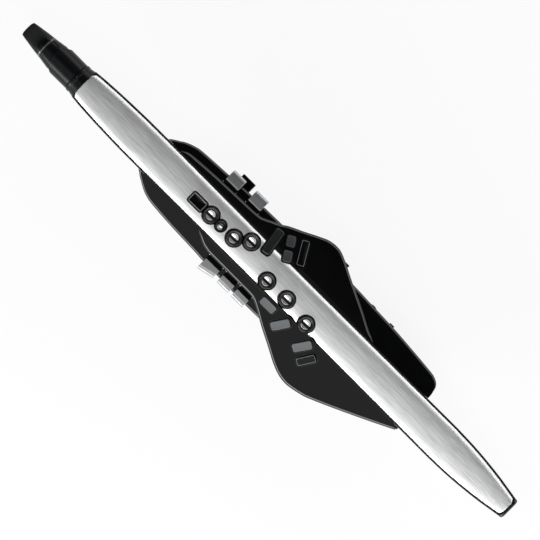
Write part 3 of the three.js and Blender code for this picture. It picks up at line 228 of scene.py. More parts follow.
def add_object(name: str, data: bpy.types.ID) -> Piece:
    """A new object in the scene, at the origin and unturned."""
    piece = bpy.data.objects.new(name, data)
    bpy.context.scene.collection.objects.link(piece)
    return piece


def skin(name: str, grid: np.ndarray, ring: bool = False) -> Piece:
    """A closed surface over a grid of points, rows by columns by three, whose columns close.

    Its end rows are closed by one face each, unless it is a ring, whose rows close too.
    """
    rows, columns, _ = grid.shape
    faces = grid_faces(rows, columns, ring).tolist()
    if not ring:
        faces.append(list(range(columns))[::-1])
        faces.append(list(range((rows - 1) * columns, rows * columns)))
    mesh = bpy.data.meshes.new(name)
    mesh.from_pydata((grid.reshape(-1, 3) * MM).tolist(), [], faces)
    finish_mesh(mesh)
    return add_object(name, mesh)


def even_normals(piece: Piece) -> Piece:
    """Lets large flat faces keep their own direction where they meet a fillet."""
    weighted = piece.modifiers.new("even_normals", "WEIGHTED_NORMAL")
    weighted.keep_sharp = True
    return piece


def plain(piece: Piece) -> Piece:
    """Takes a piece's modifiers off, so that it can be joined to another or be joined on."""
    piece.modifiers.clear()
    return piece


def lathe(name: str, profile: np.ndarray, place: Matrix, steps: int = 72, ring: bool = False) -> Piece:
    """A profile of (radius, height) turned about Z: (r cos a, r sin a, h), then laid in place.

    The profile has radius zero at a closed end, or is a closed line if the form is a ring, as for a tube.
    """
    c, s = circle(np.arange(steps) * TAU / steps).T
    radius, height = np.array(profile, float).T[:, :, None]
    grid = np.stack([radius * c, radius * s, height + 0 * c], -1)
    return even_normals(skin(name, transform(grid, place), ring))


def pad(name: str, outline: np.ndarray, bottom: float, top: float, place: Matrix, fillet: float,
        hollow: float = 0.0, foot: float = 0.0, steps: int = 4, lip: float = 0.0) -> Piece:
    """A flat form with a rounded top edge: rings of its outline, each further in and further up.

    Args:
        name: The piece's name.
        outline: The form seen from above.
        bottom: Height of its foot.
        top: Height of its face.
        place: Where it goes.
        fillet: Radius of the top edge.
        hollow: How far the middle of the face lies under its edge.
        foot: Radius of the bottom edge.
        steps: Steps in each edge.
        lip: How far the whole face lies under a narrow rim along its edge.
    """
    arc = quarter_arc(steps)
    levels = [(foot * (1 - up), bottom + foot * back) for back, up in arc] if foot else [(0, bottom)]
    levels += [(fillet * back, top - fillet + fillet * up) for back, up in arc]
    if lip:
        levels += [(fillet + lip * (0.4 + share), top - lip * share) for share in (0.0, 0.5, 1.0)]
        top -= lip
    rings = [at_height(inset(outline, depth), z) for depth, z in levels]
    if hollow:
        edge, middle = rings[-1], rings[-1].mean(0)
        for share in (0.85, 0.65, 0.4, 0.15):
            inner = middle + share * (edge - middle)
            inner[:, 2] = top - hollow * (1 - share**2)
            rings.append(inner)
    return even_normals(skin(name, transform(np.array(rings), place)))


def bar(name: str, outline: np.ndarray, start: float, end: float, place: Matrix, fillet: float) -> Piece:
    """An outline pushed from start to end, with both its end edges rounded."""
    return pad(name, outline, start, end, place, fillet, foot=fillet, steps=3)


def cutter(outline: np.ndarray, bottom: float, top: float, place: Matrix) -> Piece:
    """A straight form to cut with, from bottom to top."""
    rings = [at_height(outline, z) for z in (bottom, top)]
    return skin("cutter", transform(np.array(rings), place))


def round_cutter(radius: float, bottom: float, top: float, place: Matrix, steps: int = 64) -> Piece:
    """A round rod to cut with."""
    angle = np.arange(steps) * TAU / steps
    return cutter(radius * circle(angle), bottom, top, place)


def slot_cutter(size: Pair, radius: float, bottom: float, top: float, place: Matrix, steps: int = 6) -> Piece:
    """A straight cutter over a rounded rectangle of this length and width."""
    return cutter(rounded_outline(*size, radius, steps), bottom, top, place)


def trim_ring(name: str, rows: Rows, outline_at: Callable[[float], np.ndarray], place: Matrix) -> Piece:
    """A closed ring that follows an outline.

    Each row is one line round it: the number that outline_at takes to move the outline, and the line's height.
    """
    rings = [at_height(outline_at(step), height) for step, height in rows]
    return skin(name, transform(np.array(rings), place), ring=True)


def box_cutter(low: Sequence[float], high: Sequence[float]) -> Piece:
    """A box to cut with, between two of its corners."""
    (x0, y0, z0), (x1, y1, z1) = low, high
    return slot_cutter((x1 - x0, y1 - y0), 0, z0, z1, frame_of((x0 + x1) / 2, (y0 + y1) / 2), 1)


def carve(piece: Piece, cutters: Sequence[Piece], join: bool = False) -> Piece:
    """Cuts each cutter, a closed form, from a piece, or joins it on, and removes it."""
    for tool in cutters:
        step = piece.modifiers.new("carve", "BOOLEAN")
        step.object = tool
        step.operation = "UNION" if join else "DIFFERENCE"
        step.solver = "MANIFOLD"
    bpy.context.view_layer.update()
    result = bpy.data.meshes.new_from_object(piece.evaluated_get(bpy.context.evaluated_depsgraph_get()))
    piece.modifiers.clear()
    piece.data = result
    for tool in cutters:
        bpy.data.objects.remove(tool)
    finish_mesh(result)
    return even_normals(piece)


# Finishes


class Graph:
    """Adds and joins the nodes of one shader tree."""

    def __init__(self, tree: bpy.types.NodeTree) -> None:
        """Starts on an empty tree."""
        self.tree = tree
        tree.nodes.clear()

    def add(self, kind: str, inputs: dict | None = None, **settings: object) -> bpy.types.Node:
        """Adds a node; inputs give a socket, by name or number, its value or the socket that feeds it."""
        node = self.tree.nodes.new(kind if kind.startswith("Node") else "ShaderNode" + kind)
        for name, value in settings.items():
            setattr(node, name, value)
        for name, value in (inputs or {}).items():
            if isinstance(value, bpy.types.NodeSocket):
                self.tree.links.new(value, node.inputs[name])
            else:
                node.inputs[name].default_value = value
        return node

    def math(self, operation: str, *values: object) -> bpy.types.NodeSocket:
        """The result of one Math node."""
        return self.add("Math", dict(enumerate(values)), operation=operation).outputs[0]

    def spread(self, value: bpy.types.NodeSocket, low: object, high: object,
               start: float = 0.0, end: float = 1.0) -> bpy.types.NodeSocket:
        """A value from start to end, spread from low to high."""
        inputs = {"Value": value, "From Min": start, "From Max": end, "To Min": low, "To Max": high}
        return self.add("MapRange", inputs).outputs["Result"]


def new_group(name: str, inputs: Sequence[tuple[str, float]], outputs: Sequence[str]) -> tuple[Graph, dict]:
    """An empty shader group with number sockets: its graph, and its input sockets by name."""
    tree = bpy.data.node_groups.new(name, "ShaderNodeTree")
    graph = Graph(tree)
    for label, value in inputs:
        socket = tree.interface.new_socket(label, in_out="INPUT", socket_type="NodeSocketFloat")
        socket.default_value = value
    for label in outputs:
        tree.interface.new_socket(label, in_out="OUTPUT", socket_type="NodeSocketFloat")
    start = graph.add("NodeGroupInput")
    return graph, {label: start.outputs[label] for label, _ in inputs}


def close_group(graph: Graph, results: dict) -> bpy.types.NodeTree:
    """Joins results, by name, to a group's outputs."""
    graph.add("NodeGroupOutput", results)
    return graph.tree


def grain_group() -> bpy.types.NodeTree:
    """Moulded grain: fine noise for height, and broad noise for where hands have smoothed the surface."""
    graph, given = new_group("moulded_grain", [("Size", 2500), ("Roughness", 0.4), ("Spread", 0.08)],
                             ["Roughness", "Height"])
    place = graph.add("TexCoord").outputs["Object"]
    fine = graph.add("TexNoise", {"Vector": place, "Scale": given["Size"], "Detail": 3.0, "Roughness": 0.6})
    broad = graph.add("TexNoise", {"Vector": place, "Scale": 45.0, "Detail": 4.0, "Roughness": 0.55})
    swing = graph.math("MULTIPLY", graph.math("SUBTRACT", broad.outputs["Fac"], 0.5), given["Spread"])
    touch = graph.math("MULTIPLY", graph.math("SUBTRACT", fine.outputs["Fac"], 0.5), given["Spread"])
    rough = graph.math("ADD", graph.math("ADD", given["Roughness"], swing), touch)
    return close_group(graph, {"Roughness": rough, "Height": fine.outputs["Fac"]})


def brush_group() -> bpy.types.NodeTree:
    """Brushed metal: noise drawn out along X, in fine and in broad streaks."""
    graph, given = new_group("brushed_lines", [("Fine", 1800), ("Broad", 980), ("Roughness", 0.3), ("Spread", 0.1)],
                             ["Tone", "Roughness", "Height"])
    place = graph.add("TexCoord").outputs["Object"]
    drawn = graph.add("Mapping", {"Vector": place, "Scale": (0.035, 1.0, 1.0)}).outputs["Vector"]
    fine = graph.add("TexNoise", {"Vector": drawn, "Scale": given["Fine"], "Detail": 5.0, "Roughness": 0.7})
    broad = graph.add("TexNoise", {"Vector": drawn, "Scale": given["Broad"], "Detail": 3.0, "Roughness": 0.6})
    both = graph.math("ADD", graph.math("MULTIPLY", fine.outputs["Fac"], 0.4),
                      graph.math("MULTIPLY", broad.outputs["Fac"], 0.6))
    swing = graph.math("MULTIPLY", graph.math("SUBTRACT", both, 0.5), given["Spread"])
    rough = graph.math("ADD", given["Roughness"], swing)
    return close_group(graph, {"Tone": both, "Roughness": rough, "Height": fine.outputs["Fac"]})


def new_material(name: str) -> tuple[bpy.types.Material, Graph]:
    """A new material and the graph of its nodes."""
    material = bpy.data.materials.new(name)
    material.use_nodes = True
    return material, Graph(material.node_tree)


# The streaks' tones between which a brushed colour goes from dark to light
STREAK_TONES = 0.36, 0.64


class Texture(Enum):
    """What a finish's surface is like close up."""

    GRAIN = "grain"
    BRUSHED = "brushed"


@dataclass(frozen=True)
class Finish:
    """One material: its colour, its gloss and its close-up texture.

    bump is the texture's depth in metres, size how fine it is, and contrast how far brushed streaks darken.
    """

    name: str
    slot: str
    colour: tuple[float, float, float]
    roughness: float
    texture: Texture = Texture.GRAIN
    metallic: float = 0.0
    size: float = 2500.0
    spread: float = 0.08
    bump: float = 6e-6
    contrast: float = 0.0
    specular: float = 0.5

    def build(self, groups: dict[Texture, bpy.types.NodeTree]) -> bpy.types.Material:
        """Makes the material, given the shader group for each texture."""
        material, graph = new_material(self.name)
        brushed = self.texture is Texture.BRUSHED
        values = {"Roughness": self.roughness, "Spread": self.spread, "Fine" if brushed else "Size": self.size}
        surface = graph.add("Group", node_tree=groups[self.texture])
        for label, value in values.items():
            surface.inputs[label].default_value = value
        bump = {"Height": surface.outputs["Height"], "Distance": self.bump, "Strength": 1.0}
        inputs = {
            "Base Color": (*self.colour, 1), "Metallic": self.metallic, "Specular IOR Level": self.specular,
            "Roughness": surface.outputs["Roughness"], "Normal": graph.add("Bump", bump).outputs["Normal"],
        }
        if brushed:
            low, high = STREAK_TONES
            mix = graph.add("Mix", data_type="RGBA")
            graph.tree.links.new(graph.spread(surface.outputs["Tone"], 0.0, 1.0, low, high), mix.inputs[0])
            mix.inputs[6].default_value = (*(part * (1 - self.contrast) for part in self.colour), 1)
            mix.inputs[7].default_value = (*self.colour, 1)
            inputs["Base Color"] = mix.outputs[2]
        shader = graph.add("BsdfPrincipled", inputs)
        graph.add("OutputMaterial", {"Surface": shader.outputs[0]})
        return material


GLOSS = Finish("gloss_black_plastic", "gloss_black", (0.0018, 0.002, 0.0022), 0.13, spread=0.04, bump=3e-7,
               specular=0.4)
GLOSS_KEY = Finish("gloss_black_key", "gloss_black", (0.002, 0.002, 0.0023), 0.12, spread=0.04, bump=3e-7)
SATIN = Finish("satin_black_plastic", "satin_black", (0.004, 0.0044, 0.0048), 0.24, spread=0.06, bump=2e-6,
               specular=0.42)
NECK = Finish("neck_black_plastic", "satin_black", (0.003, 0.0036, 0.004), 0.3, spread=0.06, bump=1.5e-6,
              specular=0.16)
CUP = Finish("touch_key_black", "satin_black", (0.004, 0.004, 0.0044), 0.22, bump=1e-6)
# Matt black for the tube; also the rings round the bar keys, which are painted shade for the gap they sit in.
TUBE_AND_SHADE_RING = Finish("matt_black_tube_and_shade_ring", "satin_black", (0.0025, 0.0027, 0.003), 0.5, specular=0.1)
PANEL = Finish("brushed_panel_metal", "brushed_panel", (0.90, 0.905, 0.91), 0.5, Texture.BRUSHED, 1.0,
               size=2200.0, spread=0.1, bump=2e-7, contrast=0.34)
SOFT_KEY = Finish("soft_black_key", "gloss_black", (0.012, 0.013, 0.014), 0.2, spread=0.04, bump=3e-7)
MIRROR = Finish("mirror_dish_chrome", "mirror_dish", (0.86, 0.87, 0.88), 0.05, metallic=1.0, spread=0.02,
                bump=2e-7)
# Grey keys' own colour; also thin rings that are painted highlights on the front F key, two black bar keys and the
# mouthpiece.
KEY_GREY_AND_HIGHLIGHT = Finish("grey_key_and_highlight_plastic", "key_grey", (0.12, 0.127, 0.132), 0.2, spread=0.05, bump=5e-7)
# Dark keys' own colour; also the right deck's socket rims, a painted highlight.
KEY_DARK_AND_RIM_HIGHLIGHT = Finish("dark_key_and_rim_highlight_plastic", "key_dark", (0.044, 0.049, 0.052), 0.2, spread=0.05, bump=5e-7)
SILVER = Finish("silver_lever_paint", "silver_key", (0.46, 0.47, 0.48), 0.30, Texture.BRUSHED, 0.9,
                size=2600.0, spread=0.08, bump=8e-7, contrast=0.1)
STEEL = Finish("bright_steel", "silver_key", (0.62, 0.62, 0.61), 0.2, metallic=1.0, spread=0.05, bump=4e-7)
BOARD = Finish("green_board", "board_green", (0.01, 0.09, 0.035), 0.45)
CELL = Finish("battery_can", "cell_can", (0.42, 0.43, 0.45), 0.32, metallic=0.6)
LENS = Finish("display_glass", "display_lens", (0.006, 0.008, 0.01), 0.07, spread=0.03, bump=2e-7)
RUBBER = Finish("grip_rubber_black", "grip_rubber", (0.018, 0.018, 0.0185), 0.72, spread=0.1, bump=2e-5,
                size=1400.0)


class Workshop:
    """Gives pieces their finish and their body, and reports each."""

    def __init__(self) -> None:
        """Builds the shader groups that the finishes share."""
        self.groups = {Texture.GRAIN: grain_group(), Texture.BRUSHED: brush_group()}
        self.materials: dict[Finish, bpy.types.Material] = {}

    def coat(self, piece: Piece, finish: Finish) -> None:
        """Gives a piece its material, built once for each finish."""
        if finish not in self.materials:
            self.materials[finish] = finish.build(self.groups)
        piece.data.materials.clear()
        piece.data.materials.append(self.materials[finish])

    def settle(self, piece: Piece, finish: Finish, body: str = BODY, stands_for: Sequence[str] = ()) -> None:
        """Finishes a new piece.

        Args:
            piece: The piece.
            finish: Its finish.
            body: The CAD body that it moves with.
            stands_for: The CAD nodes that it replaces.
        """
        self.coat(piece, finish)
        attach(piece, body)
        if stands_for:
            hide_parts(*stands_for)
        log.info("%s rides on %s, %d faces", piece.name, body, len(piece.data.polygons))


# The instrument's form


@dataclass(frozen=True)
class Side:
    """One side of the instrument: its key deck's and back shell's outlines, as shares of their reach."""

    sign: int
    reach: float
    deck_rows: Rows
    shell_rows: Rows
    node: str


LEFT = Side(1, 68.5, (
    (0.194, 0.33), (0.199, 0.369), (0.206, 0.4), (0.218, 0.415), (0.274, 0.448), (0.351, 0.475), (0.366, 0.488),
    (0.373, 0.511), (0.385, 0.566), (0.4, 0.632), (0.408, 0.682), (0.435, 0.803), (0.462, 0.929), (0.475, 0.98),
    (0.489, 1), (0.496, 0.999), (0.502, 0.988), (0.516, 0.937), (0.543, 0.812), (0.603, 0.542), (0.624, 0.437),
    (0.646, 0.345)), (
    (0.163, 0.505), (0.167, 0.56), (0.173, 0.621), (0.18, 0.682), (0.186, 0.743), (0.2, 0.829), (0.213, 0.878),
    (0.227, 0.896), (0.273, 0.933), (0.327, 0.977), (0.368, 0.99), (0.4, 1), (0.469, 1.06), (0.536, 1.18),
    (0.549, 1.19), (0.602, 1.163), (0.652, 1.136), (0.703, 1.083), (0.745, 1.03), (0.758, 1.008), (0.765, 0.975),
    (0.772, 0.915), (0.776, 0.83), (0.7785, 0.66)), "left_key_deck")
RIGHT = Side(-1, 74.2, (
    (0.308, 0.318), (0.315, 0.353), (0.325, 0.399), (0.335, 0.429), (0.348, 0.445), (0.445, 0.45), (0.455, 0.469),
    (0.469, 0.526), (0.495, 0.653), (0.529, 0.801), (0.556, 0.921), (0.57, 0.968), (0.583, 0.994), (0.594, 1),
    (0.604, 0.99), (0.617, 0.968), (0.63, 0.939), (0.644, 0.891), (0.704, 0.656), (0.743, 0.494), (0.776, 0.353)), (
    (0.163, 0.517), (0.167, 0.552), (0.173, 0.619), (0.18, 0.68), (0.187, 0.741), (0.2, 0.832), (0.213, 0.881),
    (0.227, 0.905), (0.273, 0.948), (0.327, 0.978), (0.348, 0.996), (0.385, 1.005), (0.455, 1.027), (0.536, 0.99),
    (0.602, 0.963), (0.669, 0.867), (0.728, 0.722), (0.761, 0.62), (0.7785, 0.56)), "right_key_deck")


@dataclass(frozen=True)
class Form:
    """The sizes that several sub-assemblies share, and the curves along the axis."""

    start: float = -274.2
    length: float = 632.6
    cap: float = 3.8
    half_width: float = 22.0
    crown_height: float = 78.0
    base_height: float = 40.0
    neck_z: float = 58.5
    crown_bow: float = 1.4
    edge_fall: float = 3.6
    fall_power: float = 7.0
    corner: float = 6.0
    shell_half: float = 43.8
    shell_top: float = 66.0
    shell_floor: float = 24.0
    shell_slope: float = 0.45
    shell_rim: float = 4.0
    belly_power: float = 2.5
    deck_height: float = 72.0
    deck_angle: float = 20.0
    deck_thickness: float = 2.6
    deck_tuck: float = 1.0
    width_rows: Rows = ((0, 0.83), (0.021, 0.888), (0.061, 0.949), (0.101, 0.986), (0.121, 0.998), (0.161, 1),
                        (0.435, 0.975), (0.8, 1), (0.8425, 1.004), (0.8625, 0.992), (0.8826, 0.973),
                        (0.9026, 0.938), (0.9226, 0.888), (0.9427, 0.828), (0.9627, 0.752), (0.9828, 0.66),
                        (1, 0.58))
    crown_rows: Rows = ((0, 0.981), (0.1, 0.996), (0.25, 1), (0.8, 1), (0.93, 0.988), (1, 0.968))
    base_rows: Rows = ((0, 1), (0.3, 1), (0.75, 1), (1, 1.25))
    floor_rows: Rows = ((0.163, 0.5), (0.178, 0.78), (0.2, 0.95), (0.225, 1), (0.72, 1), (0.75, 0.94),
                        (0.77, 0.72), (0.7785, 0.5))

    @property
    def end(self) -> float:
        """Where the tube ends."""
        return self.start + self.length

    @property
    def inner(self) -> float:
        """Where the decks start, measured from the middle."""
        return self.half_width + FIT_GAP

    def along(self, share: float) -> float:
        """The place at a share of the tube's length."""
        return self.start + share * self.length

    def share(self, x: np.ndarray) -> np.ndarray:
        """The share of the tube's length at a place."""
        return (x - self.start) / self.length

    def half(self, x: np.ndarray) -> np.ndarray:
        """The tube's half width."""
        return self.half_width * smooth_curve(self.width_rows)(self.share(x))

    def crown(self, x: np.ndarray) -> np.ndarray:
        """The height of the panel's middle."""
        return self.crown_height * smooth_curve(self.crown_rows)(self.share(x))

    def base(self, x: np.ndarray) -> np.ndarray:
        """The height of the tube's underside."""
        return self.base_height * smooth_curve(self.base_rows)(self.share(x))

    def fall(self, across: np.ndarray) -> np.ndarray:
        """How far the crown has fallen at a share of its half width: crown_bow s^2 + edge_fall |s|^power."""
        return self.crown_bow * across**2 + self.edge_fall * np.abs(across) ** self.fall_power

    def deck_plane(self, y: np.ndarray) -> np.ndarray:
        """The height of a key deck's slope."""
        return self.deck_height - math.tan(math.radians(self.deck_angle)) * (np.abs(y) - self.inner)

    def shell_slope_at(self, y: np.ndarray) -> np.ndarray:
        """The height of the back shell's slope."""
        return self.shell_top - self.shell_slope * (np.abs(y) - self.inner)

    def deck_edge(self, side: Side, share: np.ndarray) -> np.ndarray:
        """How far a deck reaches from the middle."""
        return side.reach * smooth_curve(side.deck_rows)(share)

    def shell_edge(self, side: Side, share: np.ndarray) -> np.ndarray:
        """How far the back shell reaches from the middle: its own outline, or just short of the deck's."""
        own = self.shell_half * smooth_curve(side.shell_rows)(share)
        under = (share > side.deck_rows[0][0]) & (share < side.deck_rows[-1][0])
        return np.where(under, np.maximum(own, self.deck_edge(side, share) - self.deck_tuck), own)

    def shell_low(self, share: np.ndarray) -> np.ndarray:
        """The height of the back shell's lowest line."""
        return self.shell_top - (self.shell_top - self.shell_floor) * smooth_curve(self.floor_rows)(share)

    def on_deck(self, x: float, y: float, turn: float) -> Matrix:
        """The place of a form that stands on a deck, turned in its plane."""
        return frame_of(x, y, float(self.deck_plane(y)), turn, -math.copysign(self.deck_angle, y))

    def body_grid(self, stations: np.ndarray, grow: float) -> np.ndarray:
        """The tube's section at each station: a crown that falls at its edges, upright sides, round feet.

        For cutting, it may grow larger than the tube.
        """
        across = np.sin(np.linspace(-1, 1, 41) * math.pi / 2)
        half, top = self.half(stations) + grow, self.crown(stations) - FIT_GAP + grow
        base, corner = self.base(stations) - grow, np.minimum(self.corner, half)
        arc = quarter_arc(6)
        crown_y, crown_z = half[:, None] * across, top[:, None] - self.fall(across)
        foot_y = half[:, None] - corner[:, None] * arc[:, 0]
        foot_z = base[:, None] + corner[:, None] * (1 - arc[:, 1])
        y = np.hstack([crown_y, foot_y, -foot_y[:, ::-1]])
        z = np.hstack([crown_z, foot_z, foot_z[:, ::-1]])
        return sections(stations, y, z)


FORM = Form()


@dataclass(frozen=True)
class TouchKey:
    """One round key: its body's name, place and radius."""

    name: str
    x: float
    y: float
    radius: float


@dataclass(frozen=True)
class BarKey:
    """One bar key on a deck: its node, place, size, turn in the deck's plane, height and finish."""

    node: str
    x: float
    y: float
    length: float
    width: float
    turn: float
    proud: float
    finish: Finish

    def outline(self, grow: float = 0.0) -> np.ndarray:
        """Its outline, which may be larger, for a rim or a cut."""
        return rounded_outline(*grown((self.width, self.length), grow), 2.3 + grow)

    def place(self) -> Matrix:
        """Its place on the deck."""
        return FORM.on_deck(self.x, self.y, self.turn)


CUP_RADIUS, SMALL_RADIUS, CUP_PITCH, CHAIN = 8.8, 5.9, 18.8, math.radians(32.6)
B_X, A_X, TOP_ROW_Y = FORM.along(0.3051), FORM.along(0.3593), -2.8
TOUCH_KEYS = (
    TouchKey("b", B_X, TOP_ROW_Y, CUP_RADIUS),
    TouchKey("bis", B_X + CUP_RADIUS + SMALL_RADIUS + KEY_GAP, TOP_ROW_Y - 0.7, SMALL_RADIUS),
    TouchKey("a", A_X, TOP_ROW_Y, CUP_RADIUS),
    TouchKey("g", A_X + CUP_PITCH * math.cos(CHAIN), TOP_ROW_Y + CUP_PITCH * math.sin(CHAIN), CUP_RADIUS),
    TouchKey("f", FORM.along(0.4486), -10.3, CUP_RADIUS), TouchKey("e", FORM.along(0.4937), -9.5, CUP_RADIUS),
    TouchKey("d", FORM.along(0.5455), -13.5, CUP_RADIUS),
)
BAR_WIDTH = 9.2
LEFT_X, LEFT_Y = FORM.along(0.4093), 22.7
RIGHT_X, RIGHT_Y = FORM.along(0.4785), -27.1
BAR_KEYS = (
    BarKey("g_sharp_key", LEFT_X, LEFT_Y, 3.4 * BAR_WIDTH, 1.06 * BAR_WIDTH, 8.7, 4.1, SOFT_KEY),
    BarKey("c_sharp_key", LEFT_X + 13.2, LEFT_Y + 14.2, 1.36 * BAR_WIDTH, 1.06 * BAR_WIDTH, 32, 2, KEY_DARK_AND_RIM_HIGHLIGHT),
    BarKey("low_b_key", LEFT_X + 21.8, LEFT_Y - 0.1, 1.36 * BAR_WIDTH, 1.06 * BAR_WIDTH, 32, 3.2, KEY_DARK_AND_RIM_HIGHLIGHT),
    BarKey("low_b_flat_key", LEFT_X + 31.3, LEFT_Y + 14.2, 3.2 * BAR_WIDTH, 0.97 * BAR_WIDTH, 29, 2, GLOSS_KEY),
    BarKey("f_sharp_key", RIGHT_X, RIGHT_Y, 0.98 * BAR_WIDTH, 2.05 * BAR_WIDTH, 0, 2, KEY_GREY_AND_HIGHLIGHT),
    BarKey("e_flat_key", RIGHT_X + 23.9, RIGHT_Y - 5.4, 2.32 * BAR_WIDTH, 1.02 * BAR_WIDTH, -32, 2, KEY_GREY_AND_HIGHLIGHT),
    BarKey("low_c_key", RIGHT_X + 56.5, RIGHT_Y - 5.4, 2.32 * BAR_WIDTH, 1.02 * BAR_WIDTH, -32, 2, KEY_GREY_AND_HIGHLIGHT),
    BarKey("low_a_key", RIGHT_X + 69.8, RIGHT_Y - 12.9, 2.34 * BAR_WIDTH, 0.95 * BAR_WIDTH, -30, 2, GLOSS_KEY),
)
FRONT_F_SIZE, FRONT_F_SPACE = (19.0, 11.7), 1.4
FRONT_F_X, FRONT_F_Y = B_X - CUP_RADIUS - FRONT_F_SPACE - FRONT_F_SIZE[0] / 2, TOP_ROW_Y


def round_holes(gap: float, floor: float = 64.0) -> list[Piece]:
    """Cutters for the round keys and the front F key, wider by gap and down to floor."""
    top = FORM.crown_height + 8
    holes = [round_cutter(key.radius + gap, floor, top, frame_of(key.x, key.y)) for key in TOUCH_KEYS]
    outline = rounded_outline(*grown(FRONT_F_SIZE, gap), PLAN_CORNER + gap)
    return [*holes, cutter(outline, floor, top, frame_of(FRONT_F_X, FRONT_F_Y))]


def bar_holes(gap: float, depth: float, side: int = 0) -> list[Piece]:
    """Cutters for the bar keys, grown by gap; side picks those of one deck."""
    keys = [key for key in BAR_KEYS if side in (0, math.copysign(1, key.y))]
    return [cutter(key.outline(gap), -depth, 12.0, key.place()) for key in keys]


@dataclass
class Neck:
    """Mouthpiece, bite reed, sleeve and collar, all on one axis."""

    shop: Workshop
    tip: float = -362.2
    beak: float = 51.1
    step: float = 30.4
    reed: float = 34.7
    reed_seat: float = 9.6
    beak_radius: float = 15.3
    sleeve: float = -311.1
    collar: float = -286.3
    axis_z: float = FORM.neck_z
    nose_reach: float = 6.9
    nose_radius: float = 22.9
    front_radius: float = 16.9
    rear_radius: float = 16.7
    collar_radius: float = 17.4
    tenon_radius: float = 7.0
    tenon_length: float = 22.0
    bore: float = 4.0
    socket_depth: float = 23.0
    bore_depth: float = 26.0
    edge: float = 0.5
    steps: int = 120
    width_rows: Rows = ((0, 0.38), (0.01, 0.5), (0.027, 0.578), (0.09, 0.627), (0.258, 0.712), (0.425, 0.794),
                        (0.55, 0.843), (0.675, 0.889), (0.759, 0.935), (0.843, 0.974), (0.884, 1), (1, 1))
    top_rows: Rows = ((0, 0), (0.591, 0.8), (0.607, 0.8), (0.638, 0.95), (0.908, 1), (1, 1))
    bottom_rows: Rows = ((0, 0), (0.304, 0.12), (0.629, 0.72), (0.908, 1), (1, 1))

    def nose(self, y: np.ndarray, gap: float = 0.0) -> np.ndarray:
        """Where the nose's round front is at a distance y from the axis: centre - sqrt(r^2 - y^2)."""
        radius = self.nose_radius + gap
        return self.sleeve - self.nose_reach + self.nose_radius - np.sqrt(radius**2 - y**2)

    def angles(self) -> np.ndarray:
        """Angles round the axis, from +Y towards +Z."""
        return np.arange(self.steps) * TAU / self.steps

    def ring(self, x: np.ndarray | float, radius: float) -> np.ndarray:
        """A ring of this radius at a place that may change round it."""
        c, s = circle(self.angles()).T
        return np.stack([x + 0 * c, radius * c, self.axis_z + radius * s], -1)

    def build_mouthpiece(self) -> None:
        """A beak whose section is a superellipse, |y/w|^p + |z/h|^p = 1, scaled along its axis."""
        power, drop, thin = 2 / 2.3, 7.4, 2.2
        c, s = circle(self.angles()).T
        cp, sp = np.sign(c) * np.abs(c) ** power, np.sign(s) * np.abs(s) ** power
        blunt_end = 0.025
        share = np.concatenate([[0.0, 0.004, 0.012], np.linspace(blunt_end, 1, 90)])[:, None]
        end = self.nose(self.beak_radius * cp, FIT_GAP)
        x = self.tip + share * (end - self.tip)
        place = (x - self.tip) / self.beak

        def section(at: np.ndarray, grow: np.ndarray) -> tuple[np.ndarray, np.ndarray]:
            """The section at a share of the beak, scaled by grow."""
            half = self.beak_radius * smooth_curve(self.width_rows)(at)
            top = -drop + (self.beak_radius + drop) * smooth_curve(self.top_rows)(at)
            low = -drop - thin - (self.beak_radius - drop - thin) * smooth_curve(self.bottom_rows)(at)
            return half * cp * grow, self.axis_z + (top + low) / 2 + (top - low) / 2 * sp * grow

        y, z = section(place, np.where(share < blunt_end, 0.82 + 0.18 * (share / blunt_end) ** 0.5, 1.0))
        outer = np.stack([x, y, z], -1)
        bore, back = self.tenon_radius + FIT_GAP, self.sleeve - self.nose_reach
        rings = [outer, self.rear_ring(outer[-1], bore * c, self.axis_z + bore * s),
                 self.ring(back - self.socket_depth, bore)[None], self.ring(back - self.socket_depth, self.bore)[None],
                 self.ring(back - self.bore_depth, self.bore)[None]]
        piece = skin("mouthpiece_beak", np.vstack(rings))
        seat, step = self.axis_z - self.reed_seat, self.tip + self.step
        slot = box_cutter((step + 2.2, 8.9, seat + 12), (step + 12.2, 9.8, 90))
        under = box_cutter((self.tip - OVERRUN, -20, 30), (self.tip + self.reed + FIT_GAP, 20, seat))
        self.shop.settle(carve(piece, [under, slot]), NECK, "mouthpiece", ["mouthpiece"])
        # A band round the beak at its step, raised a little and grey: the grey is a painted highlight for the step's
        # edge.
        step_highlight_rings, half = [], 0.75
        for out, grow in ((-half, 0.8), (-half, 1.01), (half, 1.01), (half, 0.8)):
            y, z = section(np.full((1, 1), self.step / self.beak), np.full((1, 1), grow))
            step_highlight_rings.append(np.stack([step + out + 0 * y, y, np.maximum(z, seat + 1)], -1))
        self.shop.settle(skin("mouthpiece_step_highlight_band", np.vstack(step_highlight_rings), ring=True), KEY_GREY_AND_HIGHLIGHT, "mouthpiece")

    def rear_ring(self, last: np.ndarray, ring_y: np.ndarray, ring_z: np.ndarray) -> np.ndarray:
        """The hollow rear face: four rings from the beak's last ring in to its bore, given across and in height."""
        share = np.array([0.06, 0.35, 0.7, 1.0])[:, None]
        y = last[:, 1] + share * (ring_y - last[:, 1])
        z = last[:, 2] + share * (ring_z - last[:, 2])
        return np.stack([self.nose(y, FIT_GAP), y, z], -1)

    def build_reed(self) -> None:
        """The bite reed: thin at the tip, with rounded long edges and a rounded tip."""
        seat, half, thick, thin = self.axis_z - self.reed_seat - FIT_GAP, 6.6, 2.2, 0.8
        share = np.linspace(0, 1, 40)
        depth = thin + (thick - thin) * np.clip(share / 0.5, 0, 1)
        width = half * np.clip(share / 0.05 + 0.55, 0, 1) ** 0.6
        unit = rounded_outline(2, 2, 0.5, 4)
        y = width[:, None] * unit[:, 0]
        z = seat - depth[:, None] * (1 - unit[:, 1]) / 2
        piece = skin("bite_reed_pad", sections(self.tip + self.reed * share, y, z))
        self.shop.settle(even_normals(piece), RUBBER, "mouthpiece", ["bite_reed"])

